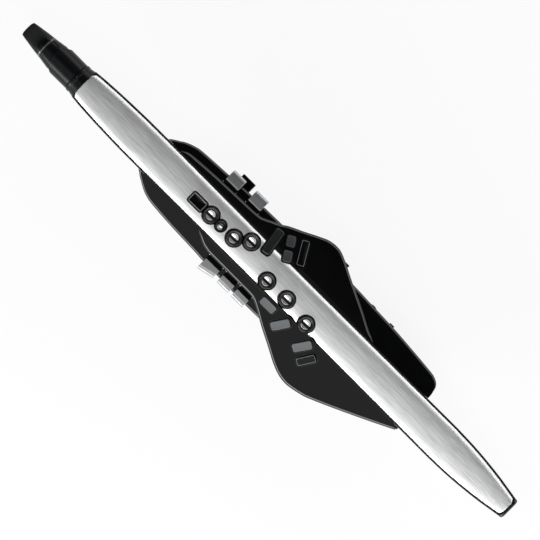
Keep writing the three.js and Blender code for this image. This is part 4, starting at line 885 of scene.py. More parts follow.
    def build_sleeve(self) -> None:
        """The sleeve with its round nose, and the tenon that the mouthpiece slides on."""
        c = np.cos(self.angles())
        tip = self.sleeve - self.nose_reach - self.tenon_length
        rear, ring, soft = self.collar - FIT_GAP, self.ring, self.edge
        rings = [ring(rear, self.bore), ring(tip + 0.4, self.bore), ring(tip, self.bore + 0.4),
                 ring(tip, self.tenon_radius - 0.6), ring(tip + 0.6, self.tenon_radius),
                 ring(self.nose(self.tenon_radius * c), self.tenon_radius)]
        for share in (0.4, 0.8, 0.97):
            radius = self.tenon_radius + share * (self.front_radius - self.tenon_radius)
            rings.append(ring(self.nose(radius * c), radius))
        edge = self.nose(self.front_radius * c)
        rings += [ring(edge + soft * up, self.front_radius - soft * (1 - up)) for _, up in quarter_arc(3)[1:]]
        for share in (0.5, 1.0):
            start = self.front_radius + share * (self.rear_radius - self.front_radius)
            rings.append(ring(edge + share * (rear - soft - edge), start))
        rings.append(ring(rear, self.rear_radius - soft))
        piece = even_normals(skin("neck_sleeve_skin", np.array(rings), ring=True))
        self.shop.settle(piece, NECK, stands_for=["neck_sleeve"])

    def build_collar(self) -> None:
        """The ridged collar, dimpled at the top for its screw."""
        start, ridge, rise, end = self.collar, 12.1 / 3, 0.6, FORM.start - FIT_GAP
        radius, sink = self.collar_radius, 1.2
        outer = soften([[self.bore, start], [radius - rise, start], [radius, start + rise],
                        [radius, start + ridge - rise], [radius - rise, start + ridge],
                        [radius + 1.0, end], [self.bore, end]], 0.4, 3)
        piece = lathe("neck_collar_skin", outer, along_x(z=self.axis_z), self.steps, ring=True)
        seat = self.axis_z + radius - sink
        hole = round_cutter(2.3, seat, seat + sink + OVERRUN, frame_of(start + ridge / 2), 32)
        self.shop.settle(carve(piece, [hole]), NECK, stands_for=["neck_collar"])
        head = [[0, 0], [1.9, 0], [1.9, 0.5], [1.5, 0.8], [0.0, 0.85]]
        on_seat = frame_of(start + ridge / 2, 0, seat)
        screw = lathe("collar_screw", soften(head, 0.2, 2), on_seat, 32)
        self.shop.settle(carve(screw, [slot_cutter((1.3, 1.3), 0.1, 0.4, 2.0, on_seat, 1)]), GLOSS)

    def build(self) -> None:
        """Builds the whole neck."""
        self.build_mouthpiece()
        self.build_reed()
        self.build_sleeve()
        self.build_collar()


@dataclass
class Tube:
    """The body tube, its brushed panel and its end cap."""

    shop: Workshop
    wall: float = 2.2
    panel_thickness: float = 1.5
    panel_inset: float = 1.6
    panel_corner: float = 3.0
    panel_edge: float = 0.35
    stations: int = 260

    def build_body(self) -> None:
        """The tube, hollow, with a recess for the panel and holes for the keys."""
        x = np.linspace(FORM.start, FORM.end, self.stations)
        piece = skin("body_tube", FORM.body_grid(x, 0))
        inner = np.linspace(FORM.start + self.wall, FORM.end - self.wall, 60)
        half, base = FORM.half(inner) - self.wall, FORM.base(inner) + self.wall
        top = FORM.crown(inner) - FORM.fall(half / FORM.half(inner)) - self.panel_thickness - self.wall
        y = np.stack([half, half, half - 3, 3 - half, -half, -half, 3 - half, half - 3], 1)
        z = np.stack([base + 3, top - 3, top, top, top - 3, base + 3, base, base], 1)
        hollow = skin("cutter", sections(inner, y, z))
        window = box_cutter((FORM.along(0.2), -14, 0), (FORM.along(0.74), 14, FORM.base_height + 6))
        recess = skin("cutter", self.panel_grid(FIT_GAP, OVERRUN))
        bore = round_cutter(4.0, FORM.start - OVERRUN, FORM.start + 5, along_x(z=FORM.neck_z))
        tools = [hollow, window, recess, bore, *round_holes(FIT_GAP), *bar_holes(KEY_GAP, 5.8)]
        self.shop.settle(carve(piece, tools), TUBE_AND_SHADE_RING, stands_for=["upper_body"])

    def panel_grid(self, grow: float, rise: float) -> np.ndarray:
        """The panel's section along the tube: crown above, the same curve below, ends rounded in plan.

        For the recess that it lies in, it may grow wider and rise higher.
        """
        start, end = FORM.start + FIT_GAP, FORM.end - FIT_GAP
        near = self.panel_corner * quarter_arc(8)[:, 0]
        middle = np.linspace(start + self.panel_corner, end - self.panel_corner, self.stations)[1:-1]
        x = np.concatenate([start + near, middle, (end - near)[::-1]])
        from_end = np.minimum(np.minimum(x - start, end - x), self.panel_corner)
        corner = self.panel_corner - np.sqrt(self.panel_corner**2 - (self.panel_corner - from_end) ** 2)
        half = FORM.half(x) - self.panel_inset - corner
        across = np.sin(np.linspace(-1, 1, 81) * math.pi / 2)
        at_edge = np.abs(across) > 0.999
        top = FORM.crown(x)[:, None] - FORM.fall(across)
        y = half[:, None] * across + grow * np.sign(across) * at_edge
        low = top - self.panel_thickness - grow
        y = np.hstack([y, y[:, ::-1]])
        z = np.hstack([top - (0 if grow else self.panel_edge) * at_edge + rise, low[:, ::-1]])
        moved = np.where(x < start + 0.01, x - grow, np.where(x > end - 0.01, x + grow, x))
        return sections(moved, y, z)

    def build_panel(self) -> None:
        """The brushed panel, cut back round the keys."""
        piece = skin("front_panel_skin", self.panel_grid(0, 0))
        scallops = [cutter(key.outline(5.4), -9, 12, key.place()) for key in BAR_KEYS[5:7]]
        tools = [*round_holes(1.5), *bar_holes(1.6, 9, 1), *scallops]
        self.shop.settle(carve(piece, tools), PANEL, stands_for=["front_panel"])

    def build_end(self) -> None:
        """The end cap: a plate with a softly rounded outer edge."""
        half, top, bottom = (float(size(FORM.end)) for size in (FORM.half, FORM.crown, FORM.base))
        top -= FIT_GAP
        outline = rounded_outline(2 * half, top - bottom, 6.0, 10)
        place = along_x(z=(top + bottom) / 2)
        piece = pad("end_cap_plate", outline, FORM.end + FIT_GAP, FORM.end + FORM.cap, place, 2.2, steps=8)
        self.shop.settle(piece, SATIN, stands_for=["end_cap"])

    def build(self) -> None:
        """Builds the tube, its panel and its cap."""
        self.build_body()
        self.build_panel()
        self.build_end()


@dataclass
class TouchKeys:
    """The round keys with their mirror dishes, and the front F key."""

    shop: Workshop
    proud: float = 3.0
    skirt: float = 4.2
    stem: float = 3.0
    stem_bottom: float = 63.9
    crest: float = 0.88
    well: float = 0.64
    small_well: float = 0.72
    dish: float = 1.6
    hollow: float = 1.1
    drop: float = 1.6
    shoulder: float = 1.35

    def well_radius(self, key: TouchKey) -> float:
        """Radius of the well that a key's dish lies in."""
        return key.radius * (self.small_well if key.radius < CUP_RADIUS else self.well)

    def build_cup(self, key: TouchKey) -> None:
        """A cup turned from a rounded crest with two fine grooves, a well and a stem."""
        crown = float(FORM.crown(key.x))
        top, well, radius = crown + self.proud, self.well_radius(key), key.radius
        floor = top - self.drop - self.dish
        groove, deep, down = 0.022 * radius, 0.16, self.shoulder
        outer = [[0, self.stem_bottom], [self.stem, self.stem_bottom], [self.stem, crown - self.skirt],
                 [radius, crown - self.skirt], [radius, top - down]]
        for share, fall in ((0.955, 0.55), (0.915, 0.3)):
            at = share * radius
            outer += [[at + groove, top - fall * down], [at, top - fall * down - deep],
                      [at - groove, top - fall * 1.2]]
        outer += [[self.crest * radius, top], [(self.crest - 0.05) * radius, top - 0.02],
                  [(self.crest - 0.075) * radius, top - 0.3], [(self.crest - 0.1) * radius, top - 0.28],
                  [well + 0.25, top - self.drop + 0.25], [well, top - self.drop - 0.1], [well, floor], [0, floor]]
        piece = lathe(f"{key.name}_key_cup_turned", soften(outer, 0.22, 2), frame_of(key.x, key.y), 96)
        self.shop.settle(piece, CUP, f"{key.name}_key", [f"{key.name}_key_cup"])

    def build_dish(self, key: TouchKey) -> None:
        """A mirror dish: z = rim - hollow (1 - (r/R)^2), or a dome of the same form on the small key."""
        bottom = float(FORM.crown(key.x)) + self.proud - self.drop - self.dish + FIT_GAP
        rim, edge = bottom + self.dish, self.well_radius(key) - FIT_GAP
        sign = 1 if key.name == "bis" else -1
        share = np.linspace(1, 0, 22)
        face = np.stack([share * (edge - 0.6), rim + sign * self.hollow * (1 - share**2)], 1)
        side = soften([[0, bottom], [edge, bottom], [edge, rim], [edge - 0.5, rim]], 0.25, 3)
        piece = lathe(f"{key.name}_key_dish_turned", np.vstack([side, face]), frame_of(key.x, key.y), 96)
        self.shop.settle(piece, MIRROR, f"{key.name}_key", [f"{key.name}_key_dish"])

    def build_front_f(self) -> None:
        """The front F key: a glossy pad, slightly hollow, with a grey ring inside its edge as a painted highlight."""
        top, place = float(FORM.crown(FRONT_F_X)) + self.proud, frame_of(FRONT_F_X, FRONT_F_Y)
        outline = rounded_outline(*FRONT_F_SIZE, PLAN_CORNER)
        piece = pad("front_f_key_pad", outline, top - self.skirt - self.proud, top, place, 0.7, hollow=0.2, lip=0.4)
        self.shop.settle(piece, GLOSS_KEY, "front_f_key", ["front_f_key"])
        # A thin grey ring just inside the pad's edge: a painted highlight for the light line along it.
        steps = (0.2, -0.6), (0.25, -0.08), (0.45, 0.03), (0.85, 0.03), (1.05, -0.12), (1.05, -0.6)
        rows = [(depth, top + rise) for depth, rise in steps]
        rim = trim_ring("front_f_key_highlight_rim", rows, lambda depth: inset(outline, depth), place)
        self.shop.settle(rim, KEY_GREY_AND_HIGHLIGHT, "front_f_key")

    def build(self) -> None:
        """Builds every touch key."""
        for key in TOUCH_KEYS:
            self.build_cup(key)
            self.build_dish(key)
        self.build_front_f()


@dataclass
class KeyDecks:
    """The two sloping decks, the bar keys on them, a matt black ring of painted shade round each key, and the thin
    rims of the keys' sockets, dark grey on the right deck as a painted highlight.

    The rows are a ring's lines: how far outside a key's outline, and how high.
    """

    shop: Workshop
    round_reach: float = 3.2
    round_fall: float = 1.6
    lip: float = 3.0
    inner_round: float = 0.5
    end_share: float = 0.004
    stations: int = 240
    painted_highlight_keys: Sequence[str] = ("low_b_flat_key", "low_a_key")
    highlight_edge_rows: Rows = ((-0.25, -0.6), (-0.3, -0.1), (-0.45, 0.03), (-0.8, 0.03), (-0.95, -0.1), (-0.95, -0.6))
    shade_socket_rows: Rows = ((0.45, -0.5), (0.45, 0.08), (0.52, 0.14), (1.2, 0.14), (1.2, -0.5))
    rim_rows: Rows = ((1.22, -0.5), (1.22, 0.14), (1.28, 0.24), (1.45, 0.24), (1.55, 0.1), (1.55, -0.5))

    def deck_grid(self, side: Side) -> np.ndarray:
        """A deck's section along the tube: a slope whose outer edge rolls down by the square of its way."""
        first, last = side.deck_rows[0][0], side.deck_rows[-1][0]
        share = np.linspace(first, last, self.stations)
        x = FORM.along(share)
        inner = FORM.half(x) + FIT_GAP
        edge = np.maximum(FORM.deck_edge(side, share), inner + self.lip / 2)
        reach, lip = np.minimum(self.round_reach, (edge - inner) / 2), np.minimum(self.lip, (edge - inner) / 3)
        opened = np.clip(np.minimum(share - first, last - share) / self.end_share, 0, 1)
        seat = FORM.shell_slope_at

        def top(y: np.ndarray) -> np.ndarray:
            """The deck's upper surface."""
            return FORM.deck_plane(y) - self.round_fall * np.maximum(0, (y - edge + reach) / reach) ** 2

        def under(y: np.ndarray) -> np.ndarray:
            """The deck's lower surface, which meets the shell at both ends."""
            low = seat(y) + 2 * FIT_GAP
            return low + opened * (top(y) - FORM.deck_thickness - low)

        start, flat_end, drop = inner + self.inner_round, edge - reach, top(edge)
        slope = [start + part * (flat_end - start) for part in np.linspace(0.06, 1, 12)]
        slope += [flat_end + part * reach for part in np.linspace(0.1, 0.93, 10)]
        points = [(inner, top(inner) - 0.5), (inner + 0.15, top(inner + 0.15) - 0.15), (start, top(start)),
                  *((y, top(y)) for y in slope), (edge - 0.12, drop - 0.1), (edge, drop - 0.45),
                  (edge, seat(edge) + FIT_GAP), (edge - lip, seat(edge - lip) + FIT_GAP),
                  (edge - lip, under(edge - lip)), (inner, under(inner))]
        y, z = (np.stack(values, 1) for values in zip(*points))
        return sections(x, side.sign * y, z)

    def build_deck(self, side: Side) -> None:
        """One deck with its key holes."""
        piece = skin(f"{side.node}_skin", self.deck_grid(side))
        tools = [*bar_holes(KEY_GAP, 9, side.sign), *round_holes(FIT_GAP)]
        self.shop.settle(carve(piece, tools), GLOSS, stands_for=[side.node])

    def build_bar(self, key: BarKey) -> None:
        """A bar key: a pad with soft edges and a slightly hollow face, and on two of them a grey ring along the edge
        that is a painted highlight.
        """
        foot, top, place = -FORM.deck_thickness - 0.8, key.proud, key.place()
        piece = pad(f"{key.node}_pad", key.outline(), foot, top, place, 0.7, hollow=0.15, lip=0.25)
        self.shop.settle(piece, key.finish, key.node, [key.node])
        # The two black keys get a thin grey ring at their edge: a painted highlight for their edge's reflection.
        if key.node in self.painted_highlight_keys:
            rows = [(grow, top + rise) for grow, rise in self.highlight_edge_rows]
            self.shop.settle(trim_ring(f"{key.node}_edge", rows, key.outline, place), KEY_GREY_AND_HIGHLIGHT, key.node)

    def build_rim(self, key: BarKey) -> None:
        """A matt black ring round a key, painted shade for its gap, and the thin raised rim round that, cut off where
        the deck ends.
        """
        side, half_length, half_width = int(math.copysign(1, key.y)), 60.0, FORM.inner + FIT_GAP
        # On the right deck the rim is dark grey rather than gloss black: a painted highlight for the light line along
        # it.
        rim_highlight_finish = KEY_DARK_AND_RIM_HIGHLIGHT if side < 0 else GLOSS
        # The socket ring is matt black painted shade for the gap round the key; the rim is a raised ring.
        for name, rows, finish in (("socket", self.shade_socket_rows, TUBE_AND_SHADE_RING), ("rim", self.rim_rows, rim_highlight_finish)):
            tube = box_cutter((key.x - half_length, -half_width, 0), (key.x + half_length, half_width, 120))
            ring = trim_ring(f"{key.node}_{name}", rows, key.outline, key.place())
            self.shop.settle(carve(ring, [tube, *bar_holes(KEY_GAP, 3, side)]), finish)

    def build(self) -> None:
        """Builds both decks and their keys."""
        for side in (LEFT, RIGHT):
            self.build_deck(side)
        for key in BAR_KEYS:
            self.build_bar(key)
            self.build_rim(key)


@dataclass(frozen=True)
class Lever:
    """One palm or side key: its node, side, place, and where it turns, faces up and ends."""

    node: str
    sign: int
    share: float
    length: float
    hinge: float
    face: float
    reach: float
    silver: float
    slant: float = 0.0

    @property
    def span(self) -> Pair:
        """Where it starts and ends along X."""
        x = FORM.along(self.share)
        return x - self.length / 2, x + self.length / 2

    @property
    def dip(self) -> float:
        """How far its silver plate starts under its face."""
        return max(0.0, self.face - self.silver)

    def faced(self, line: np.ndarray) -> np.ndarray:
        """A section turned to the lever's side, still running the same way round."""
        return np.column_stack([self.sign * line[:, 0], line[:, 1]])[::self.sign]


LEVERS = (
    Lever("palm_d_key", 1, 0.2928, 17.8, 31.49, 36.0, 49.19, 34.8),
    Lever("palm_e_flat_key", 1, 0.3438, 17.9, 32.5, 37.01, 50.5, 36.0),
    Lever("side_b_flat_key", -1, 0.3651, 20.0, 32.98, 37.19, 48.88, 38.6, 4.2),
    Lever("side_c_key", -1, 0.4031, 17.0, 32.98, 37.01, 48.88, 38.6),
    Lever("side_e_key", -1, 0.4367, 17.2, 33.51, 37.01, 49.01, 38.6),
)


@dataclass
class Levers:
    """The palm and side keys: bent plates on barrels that turn on steel rods."""

    shop: Workshop
    barrel: float = 2.4
    rod: float = 1.1
    rod_end: float = 2.4
    plate: float = 2.4
    hinge_z: float = 56.0
    face_z: float = 62.5
    bend: float = 4.5
    fillet: float = 0.45

    def plate_outline(self, lever: Lever, tip: float) -> np.ndarray:
        """The plate's section: level over the edge, and round down outside it."""
        foot, face, bend, plate = self.face_z - self.plate, self.face_z, self.bend, self.plate
        start = face - lever.dip
        return lever.faced(soften([
            [lever.silver, start - plate], [lever.silver, start], [max(lever.face, lever.silver + 0.6), face],
            [tip - bend, face], [tip - bend * 0.3, face - bend * 0.3], [tip, face - bend], [tip, face - 2 * bend],
            [tip - plate * 0.8, face - 2 * bend], [tip - plate, face - bend - 0.4],
            [tip - bend, foot], [lever.face + plate * 0.6, foot]], 0.7, 4, closed=True))

    def arm_outline(self, lever: Lever, _tip: float) -> np.ndarray:
        """The black arm's section: up from the barrel to the plate, which it holds from inside."""
        foot, half = self.face_z - self.plate, self.barrel * 0.7
        top, end = foot - lever.dip + self.plate - 0.7, lever.silver + 1.2
        return lever.faced(soften([
            [lever.hinge - half, self.hinge_z], [lever.face - self.plate, foot - 0.6], [lever.silver + 0.1, top],
            [end, top], [end, foot + 0.2], [lever.hinge + half, self.hinge_z]], 0.4, 3, closed=True))

    def pushed(self, name: str, lever: Lever, section_at: Callable[[Lever, float], np.ndarray],
               fillet: float) -> Piece:
        """A section pushed along the lever, with rounded ends; its tip runs slantwise where it has a slant.

        Args:
            name: The piece's name.
            lever: The lever.
            section_at: Gives the section for a tip's reach.
            fillet: Radius of the ends' edges.
        """
        x0, x1 = lever.span
        arc = quarter_arc(3) * fillet
        stations = [(fillet - up, x0 + back) for back, up in arc] + [(back, x1 - fillet + up) for back, up in arc]
        rings = []
        for depth, x in stations:
            section = section_at(lever, lever.reach + lever.slant * (x1 - x) / (x1 - x0))
            moved = inset(section, math.copysign(depth, signed_area(section)))
            rings.append(np.column_stack([np.full(len(section), x), moved]))
        return skin(name, np.array(rings))

    def build_lever(self, lever: Lever) -> None:
        """One lever: a silver plate on a black arm with its barrel, and the rod."""
        x0, x1 = lever.span
        plate = self.pushed(f"{lever.node}_plate", lever, self.plate_outline, self.fillet)
        self.shop.settle(even_normals(plate), SILVER, lever.node, [lever.node])
        axis = along_x(y=lever.sign * lever.hinge, z=self.hinge_z)
        barrel = round_cutter(self.barrel, x0, x1, axis, 40)
        bore = round_cutter(self.rod + FIT_GAP, x0 - OVERRUN, x1 + OVERRUN, axis, 32)
        arm = self.pushed(f"{lever.node}_arm", lever, self.arm_outline, 0.1)
        self.shop.settle(carve(carve(arm, [barrel], join=True), [bore]), SATIN, lever.node)
        round_section = self.rod * rounded_outline(2, 2, 1, 6)
        steel = bar(f"{lever.node}_rod", round_section, x0 - self.rod_end, x1 + self.rod_end, axis, 0.2)
        self.shop.settle(steel, STEEL)

    def build(self) -> None:
        """Builds every lever."""
        for lever in LEVERS:
            self.build_lever(lever)


@dataclass(frozen=True)
class Bay:
    """The battery bay's place and sizes."""

    x: float = FORM.along(0.663)
    cell_radius: float = 7.25
    cell_length: float = 50.5
    gap: float = 0.4
    ledge: float = 2.0
    wall: float = 4.0
    bevel: float = 4.0
    sink: float = 0.4
    cover: float = 2.0
    cover_corner: float = 3.2
    size: Pair = (2 * (cell_length + gap) + 1.6, 3 * (2 * cell_radius + gap) + gap)

    @property
    def axis_z(self) -> float:
        """Height of the cells' axes."""
        return self.sink + self.cover + FIT_GAP + self.cell_radius

    @property
    def cover_size(self) -> Pair:
        """The cover's length and width."""
        return grown(self.size, self.ledge)


BAY = Bay()


@dataclass(frozen=True)
class Wall:
    """Places and sizes along the left wall and the back."""

    display_x: float = FORM.along(0.246)
    display_size: Pair = (30.0, 16.0)
    button_radius: float = 3.2
    button_space: float = 4.0
    button_y: float = 6.0
    rest_x: float = FORM.along(0.332)
    octave_away: float = 17.1
    octave_size: Pair = (9.0, 24.0)
    loop_x: float = FORM.along(0.411)
    hook_x: float = FORM.along(0.468)
    cord_hook_x: float = FORM.along(0.524)
    wheel_x: float = FORM.along(0.607)
    wheel_z: float = 44.8
    wheel_radius: float = 9.0
    wheel_width: float = 5.0
    wheel_proud: float = 1.2
    switch_x: float = FORM.along(0.651)
    switch_z: float = 48.1
    switch_proud: float = 1.6
    socket_x: float = FORM.along(0.703)
    socket_z: float = 41.0
    socket_sink: float = 7.0
    socket_pitch: float = 12.0
    socket_plate: Pair = (37.0, 14.0)
    plate_thickness: float = 2.0
    socket_radius: float = 5.0
    socket_depth: float = 12.0
    palm_x: float = FORM.along(0.3074)
    palm_z: float = 42.4
    palm_size: Pair = (17.9, 9.0)
    back_z: float = FORM.shell_floor - FIT_GAP

    def edge(self, x: float) -> float:
        """How far out the left wall is at a place."""
        return float(FORM.shell_edge(LEFT, FORM.share(np.array(x))))

    @property
    def socket_y(self) -> float:
        """Where the socket plate's face is."""
        return self.edge(self.socket_x) - self.socket_sink

    @property
    def switch_y(self) -> float:
        """Where the power switch ends."""
        return self.edge(self.switch_x) + self.switch_proud

    def at_wheel(self) -> Matrix:
        """The place of the volume wheel."""
        return frame_of(self.wheel_x, self.edge(self.wheel_x) + self.wheel_proud - self.wheel_radius)

    def at_sockets(self) -> list[Matrix]:
        """The places of the output jack, the data socket and the power socket."""
        return [along_y(self.socket_x + step * self.socket_pitch, self.socket_z) for step in (-1, 0, 1)]

    def at_octaves(self) -> list[Matrix]:
        """The places of the low and the high octave key."""
        return [frame_of(self.rest_x + step * self.octave_away) for step in (-1, 1)]

    def at_buttons(self) -> list[Matrix]:
        """The places of the menu buttons."""
        x = self.display_x + self.display_size[0] / 2 + self.button_radius + self.button_space
        return [frame_of(x, y) for y in (-self.button_y, self.button_y)]


WALL = Wall()


@dataclass
class BackShell:
    """The back shell: a sloped top, a rim, a short wall with a seam, and a full belly."""

    shop: Workshop
    stations: int = 300
    rim_round: float = 2.6
    seam: float = 0.35
    inner_y: float = 11.0
    least_depth: float = 2.4
    end_share: float = 0.012
    notch_gap: float = 0.6
    cuts_depth: float = 7.0

    def half_section(self, side: Side, share: np.ndarray) -> tuple[list[np.ndarray], list[np.ndarray]]:
        """One half of the section, as Y and Z, from the middle of the top to near the middle of the floor.

        The belly is a superellipse: (e cos(a)^k, foot - d sin(a)^k).
        """
        edge = FORM.shell_edge(side, share)
        rim_top = FORM.shell_slope_at(edge)
        foot = rim_top - FORM.shell_rim
        depth = np.maximum(foot - FORM.shell_low(share), self.least_depth)
        ys = [self.inner_y + part * (edge - self.rim_round - self.inner_y) for part in np.linspace(0, 1, 8)]
        zs = [FORM.shell_slope_at(y) for y in ys]
        start_y, start_z = ys[-1], zs[-1]
        for t in (0.25, 0.5, 0.75, 1.0):
            ys.append(edge - (edge - start_y) * (1 - t) ** 2)
            zs.append(start_z * (1 - t) ** 2 + 2 * t * (1 - t) * rim_top + t**2 * (rim_top - self.rim_round))
        for inner, up in ((0, 1.0), (1, 0.5), (1, -0.1)):
            ys.append(edge - self.seam * inner)
            zs.append(foot + self.seam * up)
        power = 2 / FORM.belly_power
        for angle in np.concatenate([np.linspace(0.015, 0.3, 6), np.linspace(0.36, math.pi / 2, 20)[:-1]]):
            ys.append(edge * math.cos(angle) ** power)
            zs.append(foot - depth * math.sin(angle) ** power)
        return [side.sign * y for y in ys], zs

    def grid(self) -> np.ndarray:
        """The whole section along the shell."""
        first, last = LEFT.shell_rows[0][0], LEFT.shell_rows[-1][0]
        near, step = self.end_share * quarter_arc(23)[:, 0], self.end_share + 0.0005
        share = np.concatenate([first + near, np.linspace(first + step, last - step, self.stations),
                                (last - near)[::-1]])
        left_y, left_z = self.half_section(LEFT, share)
        right_y, right_z = self.half_section(RIGHT, share)
        y = np.stack([*left_y, 0 * share, *right_y[::-1]], 1)
        z = np.stack([*left_z, FORM.shell_low(share), *right_z[::-1]], 1)
        return sections(FORM.along(share), y, z)

    def lever_notches(self) -> list[Piece]:
        """The slots that the levers turn in."""
        tools, hinge_space, drop, gap = [], 3.0, 9.0, self.notch_gap
        for lever in LEVERS:
            x0, x1 = lever.span
            edge = float(FORM.shell_edge(LEFT if lever.sign > 0 else RIGHT, np.array(lever.share)))
            foot = float(FORM.shell_slope_at(edge)) - drop
            low, high = sorted((lever.sign * (lever.hinge - hinge_space),
                                lever.sign * (lever.reach + lever.slant + OVERRUN)))
            tools.append(box_cutter((x0 - gap, low, foot), (x1 + gap, high, 90)))
        return tools

    def fitting_cuts(self) -> list[Piece]:
        """The places of the bay, display, keys, wheel, switch and sockets."""
        floor, at_bay, face = FORM.shell_floor, frame_of(BAY.x), WALL.socket_y
        top, deep, panel_y = BAY.sink + BAY.cover, floor + self.cuts_depth, face - WALL.plate_thickness - FIT_GAP
        half_x, half_z = (part / 2 + FIT_GAP for part in WALL.socket_plate)
        switch_low = WALL.switch_x - 5.3, WALL.switch_y - 4.7, WALL.switch_z - 1.8
        switch_high = WALL.switch_x + 5.3, WALL.switch_y + OVERRUN, WALL.switch_z + 1.8
        tools = [
            slot_cutter(BAY.size, 1.2, -OVERRUN, BAY.axis_z + BAY.cell_radius + FIT_GAP, at_bay, 3),
            slot_cutter(grown(BAY.cover_size, FIT_GAP), BAY.cover_corner, -OVERRUN, top + FIT_GAP, at_bay, 4),
            slot_cutter(grown(WALL.display_size, FIT_GAP), PLAN_CORNER, 0, floor + 1.6, frame_of(WALL.display_x)),
            round_cutter(WALL.wheel_radius + FIT_GAP, WALL.wheel_z - FIT_GAP,
                         WALL.wheel_z + WALL.wheel_width + FIT_GAP, WALL.at_wheel()),
            box_cutter(switch_low, switch_high),
            box_cutter((WALL.socket_x - half_x, panel_y, WALL.socket_z - half_z),
                       (WALL.socket_x + half_x, panel_y + 30, WALL.socket_z + half_z)),
            slot_cutter(grown(WALL.palm_size, KEY_GAP), PLAN_CORNER + KEY_GAP, 30.0, 60.0,
                        along_y(WALL.palm_x, WALL.palm_z)),
        ]
        tools += [round_cutter(WALL.socket_radius + FIT_GAP, face - WALL.socket_depth - FIT_GAP, face - 1, place, 40)
                  for place in WALL.at_sockets()]
        tools += [slot_cutter(grown(WALL.octave_size, KEY_GAP), PLAN_CORNER, 0, deep, place)
                  for place in WALL.at_octaves()]
        tools += [round_cutter(WALL.button_radius + FIT_GAP, 0, deep, place, 40) for place in WALL.at_buttons()]
        return tools

    def cord_hook(self) -> Piece:
        """The small hook on the wall that a cable is looped round."""
        root, reach, thick, half = 2.4, 2.6, 1.5, 3.5
        y = WALL.edge(WALL.cord_hook_x)
        z = float(FORM.shell_slope_at(y)) - FORM.shell_rim
        line = [[y - root, z], [y + reach, z], [y + reach, z + 2 * thick], [y + reach - thick, z + 2 * thick],
                [y + reach - thick, z + thick], [y - root, z + thick]]
        outline = soften(line, 0.35, 2, closed=True)
        return bar("cutter", outline, WALL.cord_hook_x - half, WALL.cord_hook_x + half, ALONG_X, 0.3)

    def build(self) -> None:
        """Builds the shell, with its bulge and hook joined on and everything let in."""
        outline = rounded_outline(*grown(BAY.size, BAY.ledge + 2 * BAY.wall), 9.0, 10)
        top, bevel = FORM.shell_floor + 4.8, BAY.bevel
        bulge = pad("cutter", outline, 0, top, frame_of(BAY.x), bevel, foot=bevel, steps=6)
        piece = carve(skin("back_shell_skin", self.grid()), [plain(bulge), plain(self.cord_hook())], join=True)
        trough = skin("cutter", FORM.body_grid(np.linspace(FORM.start, FORM.end, 160), FIT_GAP))
        piece = carve(piece, [trough, *self.lever_notches(), *self.fitting_cuts()])
        self.shop.settle(piece, GLOSS, stands_for=["back_shell"])


@dataclass
class BatteryBay:
    """The cover with its grip grooves, and six cells."""

    shop: Workshop
    groove_count: int = 6

    def build_cover(self) -> None:
        """The cover: a plate with a thumb patch of shallow grooves."""
        outline = rounded_outline(*BAY.cover_size, BAY.cover_corner, 6)
        piece = pad("battery_cover_plate", outline, BAY.sink, BAY.sink + BAY.cover, frame_of(BAY.x), 0.1, foot=0.35)
        start, pitch, groove, deep = BAY.x - BAY.size[0] / 2 + 6, 2.4, (1.2, 22), 0.6
        grooves = [slot_cutter(groove, 0.6, -1, BAY.sink + deep, frame_of(start + pitch * number), 4)
                   for number in range(self.groove_count)]
        self.shop.settle(carve(piece, grooves), SATIN, "battery_cover", ["battery_cover"])

    def build_cells(self) -> None:
        """Six cells: a can with rolled ends, and a nub at one end."""
        pitch = BAY.cell_length + BAY.gap
        for i in range(6):
            row, column = divmod(i, 3)
            x0 = BAY.x + (row - 1) * pitch + BAY.gap / 2
            end, r = x0 + BAY.cell_length, BAY.cell_radius
            profile = [[0, x0], [r, x0], [r, x0 + 1.2], [r - 0.12, x0 + 1.3], [r - 0.12, end - 2.6], [r, end - 2.5],
                       [r, end - 1], [2.6, end - 1], [2.6, end], [0, end]]
            place = along_x(y=(column - 1) * (2 * r + BAY.gap), z=BAY.axis_z)
            piece = lathe(f"battery_{i + 1}_can", soften(profile, 0.4, 2), place, 48)
            self.shop.settle(piece, CELL, stands_for=[f"battery_{i + 1}"])

    def build(self) -> None:
        """Builds the cover and the cells."""
        self.build_cover()
        self.build_cells()


